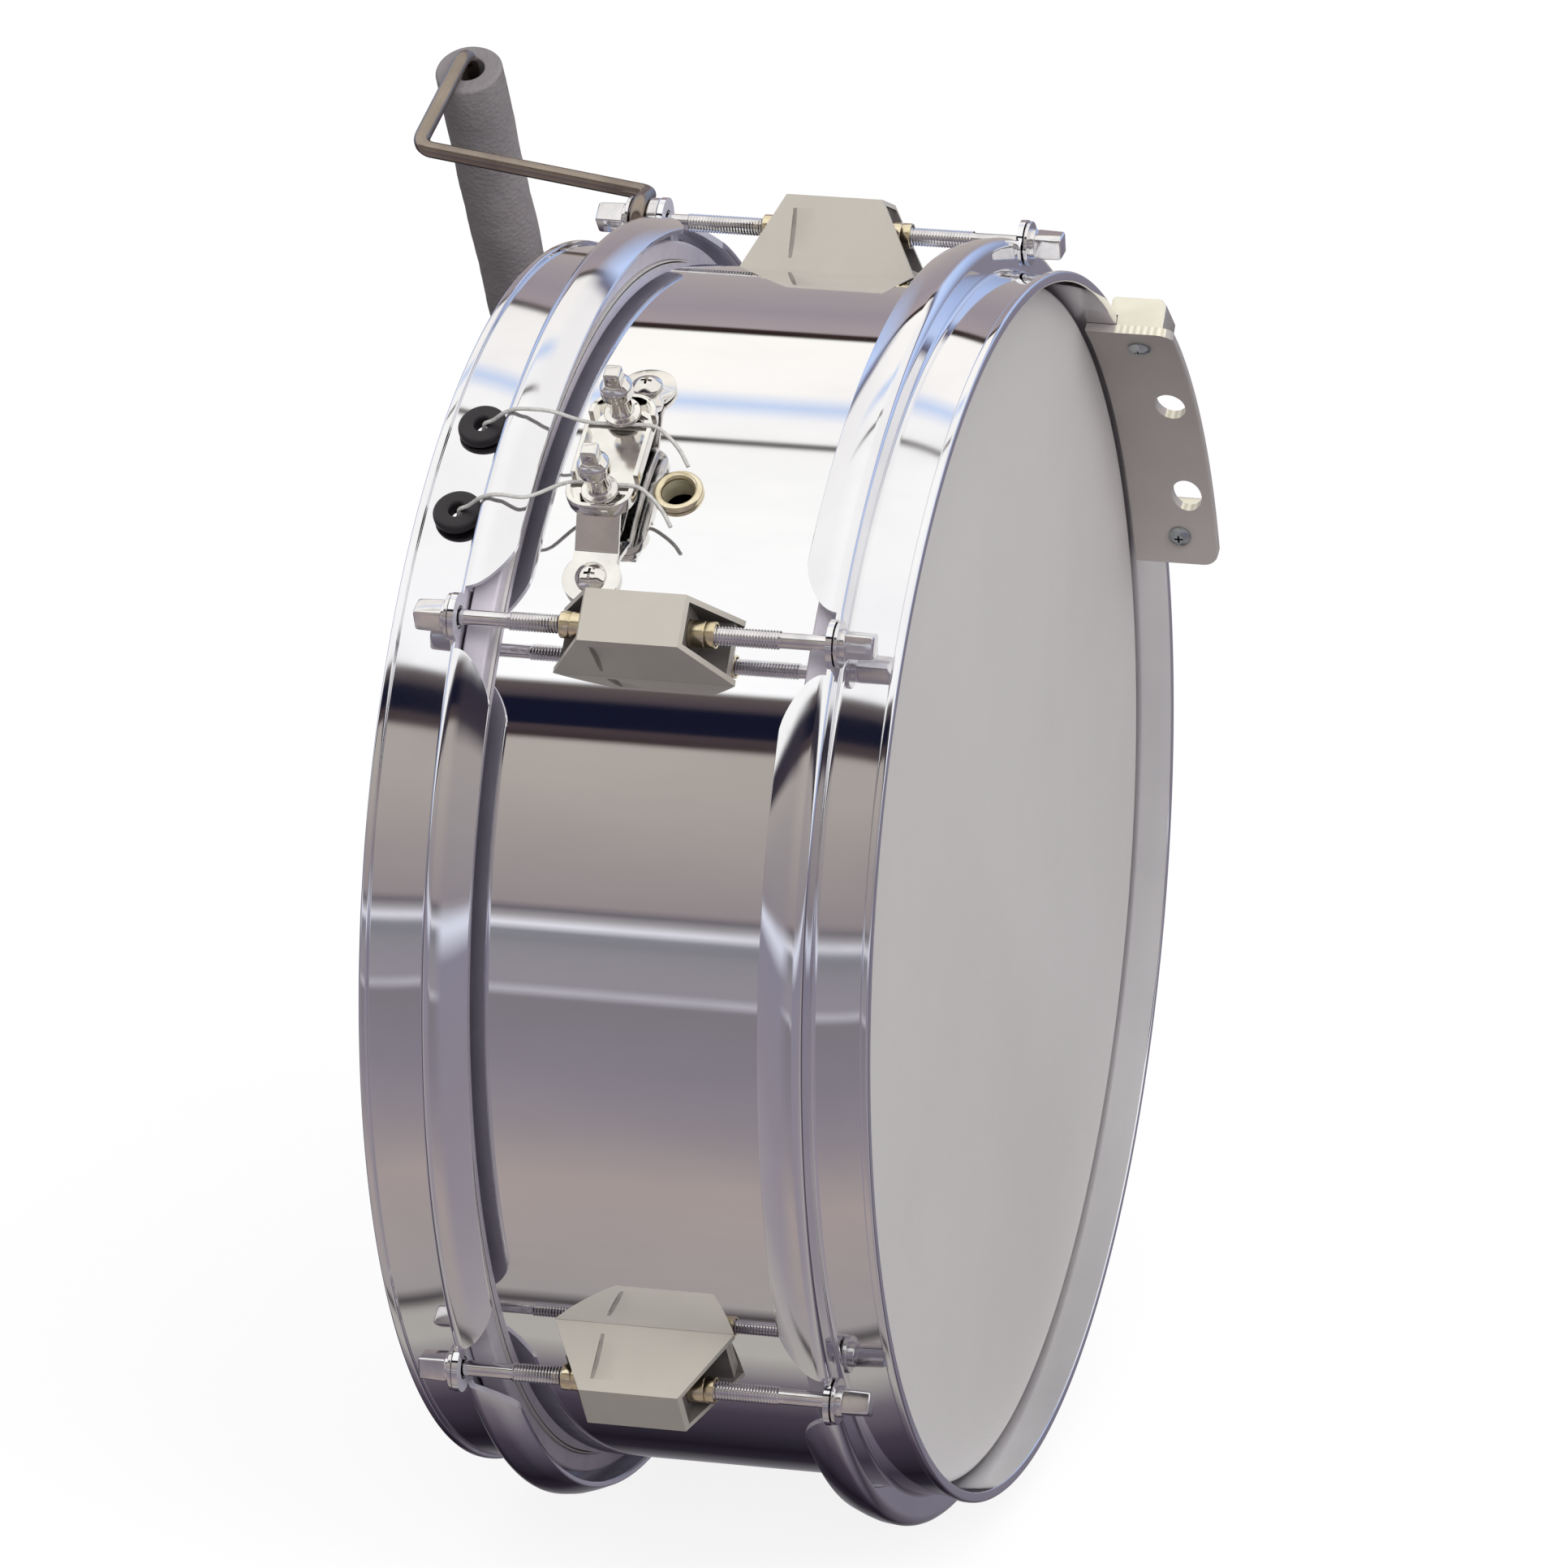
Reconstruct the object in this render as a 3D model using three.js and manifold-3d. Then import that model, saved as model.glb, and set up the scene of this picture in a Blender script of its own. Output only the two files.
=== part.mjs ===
// Marching snare drum, lying on its side.
// Lengths are millimetres. X is the drum's axis and points out of the batter head, and Z is up.
// The origin is the middle of the batter head's outer face.
// Turns are degrees about X, from straight up towards minus Y, and lug 1 has turn 0.

import * as THREE from 'three';
import { mergeVertices } from 'three/addons/utils/BufferGeometryUtils.js';
import Module from 'manifold-3d';

const wasm = await Module();
wasm.setup();

// Fits and facets
const seatGap = 0.3;
const overrun = 2;
const ringSides = 50;
const boltSides = 8;
const eyeletSides = 16;
const hoseSides = 16;
const bendSteps = 4;

// Shell: a steel cylinder whose two ends are turned in to make the bearing edges
const shellRadius = 177.8;
const shellDepth = 128;
const shellWall = 1.2;
const shellFlange = 4.5;
const edgeRadius = 3;

// Drumheads: a film drawn over the bearing edge, held down by a metal flesh hoop
const filmThickness = 0.3;
const collarMargin = 0.8;
const fleshHoopDepth = 7.6;
const fleshHoopWidth = 5.6;

// Hoops: pressed steel with a rolled rim, a wall, a flange that carries the ears, and a skirt
const rimProud = 10.5;
const rimRoll = 1.4;
const rimBead = 2.6;
const hoopClearance = 1.6;
const hoopSheet = 1.8;
const flangeDrops = { batter: 17, snare: 20.4 };
const skirtReach = 10;
const skirtShoulder = 4;
const skirtBelly = 7;
const skirtTuck = 3;
const skirtDepth = 14;
const lugCount = 5;
const rodClearance = 12.7;
const earRadius = 7.1;
const earHoleRadius = 3.4;
const skirtGapWidth = 19;
const skirtGapFlare = 14.5;

// Tension rods: a threaded shank, a captive washer and a square head
const rodThreadRadius = 2.8;
const rodShankRadius = 2.3;
const rodShankLength = 16;
const rodInnerEnd = 5;
const washerRadius = 6.8;
const washerThickness = 1.2;
const rodCollarRadius = 4.6;
const rodCollarHeight = 1.6;
const rodHeadWidth = 7.2;
const rodHeadHeight = 8;
const rodHeadTurn = 30;

// Lug casings: folded sheet bridges with open ends, and a brass swivel nut at each end
const lugBaseLength = 54.5;
const lugTopLength = 29.5;
const lugBaseWidth = 20;
const lugTopWidth = 16;
const lugHeight = 22.4;
const lugSheet = 1.6;
const lugWebPlace = 13;
const lugWebThickness = 2;
const lugFootEnd = 24.5;
const lugFootHeight = 2.4;
const lugScrewPlace = 20;
const lugScrewRadius = 2;
const lugScrewHeadRadius = 3.8;
const lugScrewHeadHeight = 2.4;
const lugDimpleWidth = 3;
const lugDimpleHeight = 12;
const lugDimpleDepth = 0.6;
const lugDimplePlace = 10;
const nutReach = 22.9;
const nutRadius = 3.9;
const nutBoreRadius = 3.15;
const nutFlangeRadius = 5.6;
const nutFlangeThickness = 2.4;

// Vent: an eyelet through the shell
const ventTurn = 55.7;
const ventOffset = 1.4;
const ventFlangeRadius = 7.4;
const ventFlangeHeight = 1.8;
const ventNeckRadius = 6;
const ventBoreRadius = 4.7;
const ventInnerFlange = 1.2;

// Snare strainer: a strap bridge on the shell, a tray on it, and two square-headed clamp screws
const strainerTurn = 54.3;
const strainerOffset = 20.4;
const bridgeFootReach = 35.4;
const bridgeFootRadius = 8.5;
const bridgeDeckHalf = 19;
const bridgeDeckHeight = 6.2;
const bridgeWidth = 13;
const bridgeSheet = 1.5;
const trayLength = 43;
const trayWidth = 20;
const trayCorner = 7;
const traySheet = 1.4;
const trayDepth = 4.4;
const clampScrewPlace = 14.5;
const clampShankRadius = 2;
const clampTip = 4;
const clampWasherRadius = 5.4;
const clampWasherThickness = 1.2;
const clampNeckRadius = 3;
const clampNeckHeight = 5;
const clampBulbRadius = 4.8;
const clampBulbHeight = 6.5;
const clampHeadWidth = 6;
const clampHeadHeight = 7;
const footScrewRadius = 2.1;
const footScrewHeadRadius = 4.6;
const footScrewHeadHeight = 2.8;
const footScrewTip = 4;

// Snare cords and the wires that they pull against the snare head
const snareTurn = 55.7;
const cordRadius = 0.6;
const cordSides = 5;
const cordSteps = 30;
const cordTail = 13;
const cordSpread = 15.8;
const wireCount = 16;
const wireRadius = 0.8;
const wireShortfall = 27.8;
const wirePitch = 2.4;
const wireSides = 4;
const wirePlateLength = 13;
const wirePlateThickness = 1.2;
const wirePlateMargin = 2;
const grommetPlace = -1.9;
const grommetRadius = 7.2;
const grommetBoreRadius = 2.3;
const grommetNeckRadius = 4.5;
const grommetHeight = 2.4;
const grommetRound = 1.4;
const grommetSides = 8;

// Butt end: the same bridge on the far side, where a bar clamps the cords
const buttBarLength = 44;
const buttBarWidth = 11;
const buttBarThickness = 2;
const buttScrewPlace = 10.8;
const buttScrewHeadHeight = 3;

// Leg rest: a wire bail hooked on two tension rods, with a foam sleeve on its crossbar
const bailWireRadius = 2.5;
const bailSides = 8;
const bailHookRadius = 5.8;
const bailHookStart = -150;
const bailHookEnd = 30;
const bailHookBend = 3.2;
const bailArmHeight = 10.6;
const bailBend = 5;
const bailSpacer = 3.1;
const bailCorner = 72.7;
const bailCornerRise = 17.1;
const bailCrossbar = 66.8;
const bailCrossbarRise = 57.3;
const bailSkew = 6.2;
const sleeveRadius = 10.6;
const sleeveBoreRadius = 5;

// Carrier: a rolled plate inside the batter hoop, with two sling holes, held on the rim by two blocks
const carrierTurn = -34.25;
const carrierHalfWidth = 55.5;
const carrierThickness = 3;
const carrierReach = 28;
const carrierSeat = 1.5;
const carrierCorner = 5;
const slingHoleRadius = 4.6;
const slingHoleReach = 20;
const slingHoleTurns = [3.75, -9.65];
const carrierScrewTurns = { upper: 14.95, lower: -14.95 };
const carrierScrewReach = 16.4;
const carrierScrewRadius = 1.9;
const carrierScrewHeadRadius = 3.5;
const carrierScrewHeadHeight = 2;
const carrierScrewTip = 7;
const blockTurns = { upper: 15.5, lower: -15.5 };
const blockWidth = 15;
const blockReach = 25;
const blockHeight = 9.3;
const blockJaw = 2.5;
const blockChamfer = 2;

// The drum lies on its side, on its hoops and on lug 4, rolled as it is in the photograph.
const restRoll = -18.5;
const halfTurn = 180;
const lugPitch = (2 * halfTurn) / lugCount;

// Places along the axis that several pieces share. The snare side repeats the batter side, turned round.
const shellFront = -(filmThickness + seatGap);
const shellBack = shellFront - shellDepth;
const snareFace = shellBack - seatGap - filmThickness;
const drumMiddle = snareFace / 2;
const batterFlange = rimProud - flangeDrops.batter;
const snareFlange = rimProud - flangeDrops.snare;
const hoopInnerRadius = shellRadius + hoopClearance;
const hoopWallRadius = hoopInnerRadius + hoopSheet;
const rimRadius = hoopWallRadius + rimRoll;
const skirtRadius = hoopWallRadius + skirtReach;
const skirtLipRadius = skirtRadius - skirtTuck;
const rodCircle = shellRadius + rodClearance;
const wireHalfLength = shellRadius - wireShortfall;
const ventPlace = drumMiddle - ventOffset;
const fleshHoopTop = (flange) => hoopSheet + seatGap - flange;
const collarRadius = shellRadius + seatGap;
const flatRadius = collarRadius + filmThickness - edgeRadius;
const facetShare = Math.cos(Math.PI / ringSides);

const radians = THREE.MathUtils.degToRad;

const chrome = () => new THREE.MeshStandardMaterial({ color: 0xc9c9d2, roughness: 0.12, metalness: 1 });
const satinMetal = () => new THREE.MeshStandardMaterial({ color: 0xc6c0b4, roughness: 0.45, metalness: 0.6 });
const brass = () => new THREE.MeshStandardMaterial({ color: 0xc2a878, roughness: 0.3, metalness: 1 });
const zinc = () => new THREE.MeshStandardMaterial({ color: 0xaebcc4, roughness: 0.3, metalness: 1 });
const nickelWire = () => new THREE.MeshStandardMaterial({ color: 0xa89a8c, roughness: 0.3, metalness: 1 });
const greyPlate = () => new THREE.MeshStandardMaterial({ color: 0x7c7875, roughness: 0.6, metalness: 0.5 });
const paleMetal = () => new THREE.MeshStandardMaterial({ color: 0xe6e3d3, roughness: 0.5, metalness: 0.4 });
const aluminium = () => new THREE.MeshStandardMaterial({ color: 0xb9bbbd, roughness: 0.4, metalness: 1 });
const headFilm = () => new THREE.MeshStandardMaterial({ color: 0xb2b0ae, roughness: 0.7, metalness: 0 });
const cordFibre = () => new THREE.MeshStandardMaterial({ color: 0xd8d6d2, roughness: 0.6, metalness: 0 });
const blackRubber = () => new THREE.MeshStandardMaterial({ color: 0x1c181b, roughness: 0.6, metalness: 0 });
const greyFoam = () => new THREE.MeshStandardMaterial({ color: 0x7a7572, roughness: 0.95, metalness: 0 });

// Joining and cutting

function toSolid(geometry) {
  const bare = geometry.clone();
  bare.deleteAttribute('normal');
  bare.deleteAttribute('uv');
  const merged = mergeVertices(bare);
  const corners = merged.index.array;
  const kept = [];
  for (let first = 0; first < corners.length; first += 3) {
    const [a, b, c] = corners.slice(first, first + 3);
    if (a !== b && b !== c && c !== a) kept.push(a, b, c);
  }
  const mesh = new wasm.Mesh({
    numProp: 3,
    vertProperties: new Float32Array(merged.attributes.position.array),
    triVerts: new Uint32Array(kept),
  });
  return new wasm.Manifold(mesh);
}

function toGeometry(solid) {
  const mesh = solid.getMesh();
  const geometry = new THREE.BufferGeometry();
  geometry.setAttribute('position', new THREE.BufferAttribute(mesh.vertProperties, 3));
  geometry.setIndex(new THREE.BufferAttribute(mesh.triVerts, 1));
  return geometry;
}

function join(geometries) {
  return toGeometry(geometries.map(toSolid).reduce((whole, next) => whole.add(next)));
}

function cut(geometry, tools) {
  return toGeometry(tools.map(toSolid).reduce((whole, next) => whole.subtract(next), toSolid(geometry)));
}

function common(geometry, tool) {
  return toGeometry(toSolid(geometry).intersect(toSolid(tool)));
}

// Basic forms. A station is the drum's frame turned so that Z points out through one place on the shell.

function latheOutline(points) {
  const outline = points.map(([along, radius]) => new THREE.Vector2(radius, along));
  if (points[0][1] > 0) outline.push(outline[0].clone());
  if (THREE.ShapeUtils.area(outline) < 0) outline.reverse();
  return outline;
}

// A ring or disc about the drum's axis, or a bar along it. Each point is a place on the axis and a radius.
function revolve(points, sides) {
  const geometry = new THREE.LatheGeometry(latheOutline(points), sides, Math.PI / sides);
  return geometry.rotateZ(-Math.PI / 2);
}

// A turned piece that stands out from the drum. Each point is a height above the axis and a radius.
function turnedOut(points, sides) {
  const geometry = new THREE.LatheGeometry(latheOutline(points), sides, Math.PI / sides);
  return geometry.rotateX(Math.PI / 2);
}

function barOut(radius, low, high, sides) {
  return turnedOut([[low, 0], [low, radius], [high, radius], [high, 0]], sides);
}

function slab(along, across, out) {
  const geometry = new THREE.BoxGeometry(along[1] - along[0], across[1] - across[0], out[1] - out[0]);
  return geometry.translate((along[0] + along[1]) / 2, (across[0] + across[1]) / 2, (out[0] + out[1]) / 2);
}

// A shape drawn across and out, pressed along the drum's axis.
function pressAlong(shape, from, to) {
  const geometry = new THREE.ExtrudeGeometry(shape, { depth: to - from, bevelEnabled: false, curveSegments: bendSteps });
  const turn = new THREE.Matrix4().makeBasis(
    new THREE.Vector3(0, 1, 0), new THREE.Vector3(0, 0, 1), new THREE.Vector3(1, 0, 0));
  return geometry.applyMatrix4(turn).translate(from, 0, 0);
}

// A shape drawn along and across, pressed outwards.
function pressOut(shape, low, high) {
  const geometry = new THREE.ExtrudeGeometry(shape, { depth: high - low, bevelEnabled: false, curveSegments: bendSteps });
  return geometry.translate(0, 0, low);
}

function roundedRectangle(along, across, corner) {
  const [left, right] = along;
  const [low, high] = across;
  const shape = new THREE.Shape();
  shape.moveTo(left + corner, low);
  shape.absarc(right - corner, low + corner, corner, -Math.PI / 2, 0, false);
  shape.absarc(right - corner, high - corner, corner, 0, Math.PI / 2, false);
  shape.absarc(left + corner, high - corner, corner, Math.PI / 2, Math.PI, false);
  shape.absarc(left + corner, low + corner, corner, Math.PI, 1.5 * Math.PI, false);
  return shape;
}

// A strip of sheet bent along a line of points.
function ribbon(points, thickness) {
  const upper = [];
  const lower = [];
  points.forEach((point, index) => {
    const before = points[Math.max(index - 1, 0)];
    const after = points[Math.min(index + 1, points.length - 1)];
    const arriving = point.clone().sub(before).normalize();
    const leaving = after.clone().sub(point).normalize();
    const heading = arriving.clone().add(leaving).normalize();
    const straight = index === 0 ? leaving : arriving;
    const side = new THREE.Vector2(-heading.y, heading.x);
    side.multiplyScalar(thickness / 2 / heading.dot(straight));
    upper.push(point.clone().add(side));
    lower.unshift(point.clone().sub(side));
  });
  return new THREE.Shape([...upper, ...lower]);
}

// A path that visits its points in even steps, however far apart they lie.
class StationPath extends THREE.Curve {
  constructor(points) {
    super();
    this.points = points;
  }

  getUtoTmapping(u) {
    return u;
  }

  getPoint(t, target = new THREE.Vector3()) {
    const place = Math.min(Math.max(t, 0), 1) * (this.points.length - 1);
    const first = Math.min(Math.floor(place), this.points.length - 2);
    return target.lerpVectors(this.points[first], this.points[first + 1], place - first);
  }
}

function tube(points, radius, sides) {
  const outline = [];
  for (let side = 0; side < sides; side += 1) {
    const angle = (2 * Math.PI * side) / sides;
    outline.push(new THREE.Vector2(radius * Math.cos(angle), radius * Math.sin(angle)));
  }
  const settings = { steps: points.length - 1, extrudePath: new StationPath(points), bevelEnabled: false };
  return new THREE.ExtrudeGeometry(new THREE.Shape(outline), settings);
}

// Points of a line whose inner corners are rounded to one radius.
function roundedCorners(points, radius) {
  const rounded = [points[0]];
  for (let index = 1; index < points.length - 1; index += 1) {
    const corner = points[index];
    const back = points[index - 1].clone().sub(corner).normalize();
    const ahead = points[index + 1].clone().sub(corner).normalize();
    const half = back.angleTo(ahead) / 2;
    const start = corner.clone().addScaledVector(back, radius / Math.tan(half));
    const centre = corner.clone().addScaledVector(back.clone().add(ahead).normalize(), radius / Math.sin(half));
    const first = start.clone().sub(centre).normalize();
    const axis = new THREE.Vector3().crossVectors(ahead, back).normalize();
    const sweep = Math.PI - 2 * half;
    for (let step = 0; step <= bendSteps; step += 1) {
      const spoke = first.clone().applyAxisAngle(axis, (sweep * step) / bendSteps);
      rounded.push(centre.clone().addScaledVector(spoke, radius));
    }
  }
  rounded.push(points[points.length - 1]);
  return rounded;
}

function inStation(turn, along, across, out) {
  return new THREE.Vector3(along, across, out).applyAxisAngle(new THREE.Vector3(1, 0, 0), radians(turn));
}

function station(parent, turn) {
  const group = new THREE.Group();
  group.rotation.x = radians(turn);
  parent.add(group);
  return group;
}

function addPiece(parent, name, geometry, material, place = [0, 0, 0]) {
  const mesh = new THREE.Mesh(geometry, material);
  mesh.name = name;
  mesh.position.set(...place);
  parent.add(mesh);
  return mesh;
}

// The shell with a clearance all round, to cut whatever stands on it.
function shellEnvelope() {
  const radius = shellRadius + seatGap;
  return revolve([[shellBack, 0], [shellBack, radius], [shellFront, radius], [shellFront, 0]], ringSides);
}

const bridgeFootTurn = THREE.MathUtils.radToDeg(Math.asin(bridgeFootReach / shellRadius));
const strainerPlace = drumMiddle - strainerOffset;
const buttTurn = snareTurn + halfTurn;

function shellHoles() {
  const holes = [];
  const hole = (radius, along, turn) => {
    const bar = barOut(radius, shellRadius - shellWall - overrun, shellRadius + overrun, boltSides);
    holes.push(bar.translate(along, 0, 0).rotateX(radians(turn)));
  };
  for (let lug = 0; lug < lugCount; lug += 1) {
    hole(lugScrewRadius + seatGap, drumMiddle - lugScrewPlace, lug * lugPitch);
    hole(lugScrewRadius + seatGap, drumMiddle + lugScrewPlace, lug * lugPitch);
  }
  for (const turn of [strainerTurn, buttTurn]) {
    hole(footScrewRadius + seatGap, strainerPlace, turn - bridgeFootTurn);
    hole(footScrewRadius + seatGap, strainerPlace, turn + bridgeFootTurn);
  }
  const vent = barOut(ventNeckRadius + seatGap, shellRadius - shellWall - overrun, shellRadius + overrun, eyeletSides);
  holes.push(vent.translate(ventPlace, 0, 0).rotateX(radians(ventTurn)));
  return holes;
}

function shellGeometry() {
  const bend = edgeRadius - filmThickness - seatGap;
  const edge = (end, inward) => [
    [end + inward * bend, shellRadius],
    [end + inward * bend * (1 - Math.SQRT1_2), flatRadius + bend * Math.SQRT1_2],
    [end, flatRadius],
    [end, flatRadius - shellFlange],
    [end + inward * shellWall, flatRadius - shellFlange],
    [end + inward * shellWall, shellRadius - shellWall],
  ];
  const blank = revolve([...edge(shellBack, 1), ...edge(shellFront, -1).reverse()], ringSides);
  return cut(blank, shellHoles());
}

function headGeometry(flange) {
  const collarDepth = fleshHoopTop(flange) + fleshHoopDepth + collarMargin;
  const outer = collarRadius + filmThickness;
  const fall = edgeRadius * (1 - Math.SQRT1_2);
  const reach = edgeRadius * Math.SQRT1_2;
  const innerBend = edgeRadius - filmThickness;
  const profile = [
    [0, 0],
    [0, flatRadius],
    [-fall, flatRadius + reach],
    [-edgeRadius, outer],
    [-collarDepth, outer],
    [-collarDepth, collarRadius],
    [-edgeRadius, collarRadius],
    [-filmThickness - innerBend * (1 - Math.SQRT1_2), flatRadius + innerBend * Math.SQRT1_2],
    [-filmThickness, flatRadius],
    [-filmThickness, 0],
  ];
  return revolve(profile, ringSides);
}

function fleshHoopGeometry(flange) {
  const inner = collarRadius + filmThickness + seatGap;
  const outer = inner + fleshHoopWidth;
  const top = -fleshHoopTop(flange);
  const bottom = top - fleshHoopDepth;
  return revolve([[top, inner], [top, outer], [bottom, outer], [bottom, inner]], ringSides);
}

function hoopBlank(flange) {
  const sheet = hoopSheet;
  const belly = flange - skirtBelly;
  const free = flange - skirtDepth;
  const innerShoulder = skirtShoulder - sheet;
  const fall = skirtShoulder * (1 - Math.SQRT1_2);
  const innerFall = sheet + innerShoulder * (1 - Math.SQRT1_2);
  const profile = [
    [rimProud, hoopInnerRadius],
    [rimProud, rimRadius - sheet / 3],
    [rimProud - sheet / 3, rimRadius],
    [rimProud - rimBead, rimRadius],
    [rimProud - rimBead, hoopWallRadius],
    [flange, hoopWallRadius],
    [flange, skirtRadius - skirtShoulder],
    [flange - fall, skirtRadius - fall],
    [belly, skirtRadius],
    [free, skirtLipRadius],
    [free + sheet / 4, skirtLipRadius - sheet],
    [belly, skirtRadius - sheet],
    [flange - innerFall, skirtRadius - innerFall],
    [flange - sheet, skirtRadius - skirtShoulder],
    [flange - sheet, hoopInnerRadius],
  ];
  return revolve(profile, ringSides);
}

// The skirt stops short of each ear, and its ends sweep away from the ear towards the free edge.
function skirtGap(flange) {
  const half = skirtGapWidth / 2;
  const top = flange - hoopSheet;
  const free = flange - skirtDepth;
  const shape = new THREE.Shape();
  shape.moveTo(free - overrun, -half - skirtGapFlare);
  shape.lineTo(free, -half - skirtGapFlare);
  shape.quadraticCurveTo((top + free) / 2, -half, top, -half);
  shape.lineTo(top, half);
  shape.quadraticCurveTo((top + free) / 2, half, free, half + skirtGapFlare);
  shape.lineTo(free - overrun, half + skirtGapFlare);
  return pressOut(shape, hoopWallRadius + hoopSheet, skirtRadius + overrun);
}

function ear(flange) {
  const root = hoopWallRadius - hoopSheet / 2;
  const shape = new THREE.Shape();
  shape.moveTo(-skirtGapWidth / 2, root);
  shape.lineTo(skirtGapWidth / 2, root);
  shape.lineTo(skirtGapWidth / 2, skirtRadius - skirtShoulder);
  shape.lineTo(earRadius, rodCircle);
  shape.absarc(0, rodCircle, earRadius, 0, Math.PI, false);
  shape.lineTo(-skirtGapWidth / 2, skirtRadius - skirtShoulder);
  return pressAlong(shape, flange - hoopSheet, flange);
}

function earHole(flange) {
  const hole = revolve([[flange - hoopSheet - overrun, 0], [flange - hoopSheet - overrun, earHoleRadius],
    [flange + overrun, earHoleRadius], [flange + overrun, 0]], boltSides);
  return hole.translate(0, 0, rodCircle);
}

function grommetHole(turn, across) {
  const hole = barOut(grommetNeckRadius + seatGap, hoopInnerRadius - overrun, hoopWallRadius + overrun, grommetSides);
  return hole.translate(grommetPlace, across, 0).rotateX(radians(turn));
}

function hoopGeometry(flange, grommetTurns) {
  const gaps = [];
  const ears = [];
  const holes = [];
  for (let lug = 0; lug < lugCount; lug += 1) {
    const turn = radians(lug * lugPitch);
    gaps.push(skirtGap(flange).rotateX(turn));
    ears.push(ear(flange).rotateX(turn));
    holes.push(earHole(flange).rotateX(turn));
  }
  for (const turn of grommetTurns) {
    holes.push(grommetHole(turn, -cordSpread), grommetHole(turn, cordSpread));
  }
  return cut(join([cut(hoopBlank(flange), gaps), ...ears]), holes);
}

// A tension rod along the axis. Its washer lies on the ear. Where it holds the bail's hook, a thick spacer
// lies on the ear instead, and the hook sits between the spacer and the washer.
function rodGeometry(seat, spacerSeat) {
  const threadStart = seat - washerThickness - rodShankLength;
  const collar = seat + washerThickness + rodCollarHeight;
  const spacer = [
    [spacerSeat, rodShankRadius],
    [spacerSeat, washerRadius],
    [spacerSeat + bailSpacer, washerRadius],
    [spacerSeat + bailSpacer, rodShankRadius],
  ];
  const shank = revolve([
    [drumMiddle + rodInnerEnd, 0],
    [drumMiddle + rodInnerEnd, rodThreadRadius],
    [threadStart, rodThreadRadius],
    [threadStart, rodShankRadius],
    ...(spacerSeat < seat ? spacer : []),
    [seat, rodShankRadius],
    [seat, washerRadius],
    [seat + washerThickness, washerRadius],
    [seat + washerThickness, rodCollarRadius],
    [collar, rodCollarRadius],
    [collar, 0],
  ], boltSides);
  const half = rodHeadWidth / 2;
  const head = slab([seat + washerThickness, collar + rodHeadHeight], [-half, half], [-half, half]);
  return join([shank, head.rotateX(radians(rodHeadTurn))]);
}

function nutGeometry() {
  const flangeStart = drumMiddle + lugWebPlace - seatGap - nutFlangeThickness;
  const flangeEnd = drumMiddle + lugWebPlace - seatGap;
  return revolve([
    [flangeStart, nutBoreRadius],
    [flangeStart, nutFlangeRadius],
    [flangeEnd, nutFlangeRadius],
    [flangeEnd, nutRadius],
    [drumMiddle + nutReach, nutRadius],
    [drumMiddle + nutReach, nutBoreRadius],
  ], boltSides);
}

// A block that narrows from its foot to its top.
function tapered(foot, top, low, high) {
  const geometry = new THREE.BoxGeometry(1, 1, 1);
  const place = geometry.attributes.position;
  for (let corner = 0; corner < place.count; corner += 1) {
    const raised = place.getZ(corner) > 0;
    const [length, width] = raised ? top : foot;
    place.setXYZ(corner, place.getX(corner) * length, place.getY(corner) * width, raised ? high : low);
  }
  return geometry;
}

function lugScrew(place) {
  const headTop = (shellRadius - shellWall) * facetShare - seatGap;
  const low = headTop - lugScrewHeadHeight;
  const screw = turnedOut([
    [low, 0],
    [low, lugScrewHeadRadius],
    [headTop, lugScrewHeadRadius],
    [headTop, lugScrewRadius],
    [shellRadius + lugFootHeight / 2, lugScrewRadius],
    [shellRadius + lugFootHeight / 2, 0],
  ], boltSides);
  return screw.translate(place, 0, 0);
}

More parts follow.
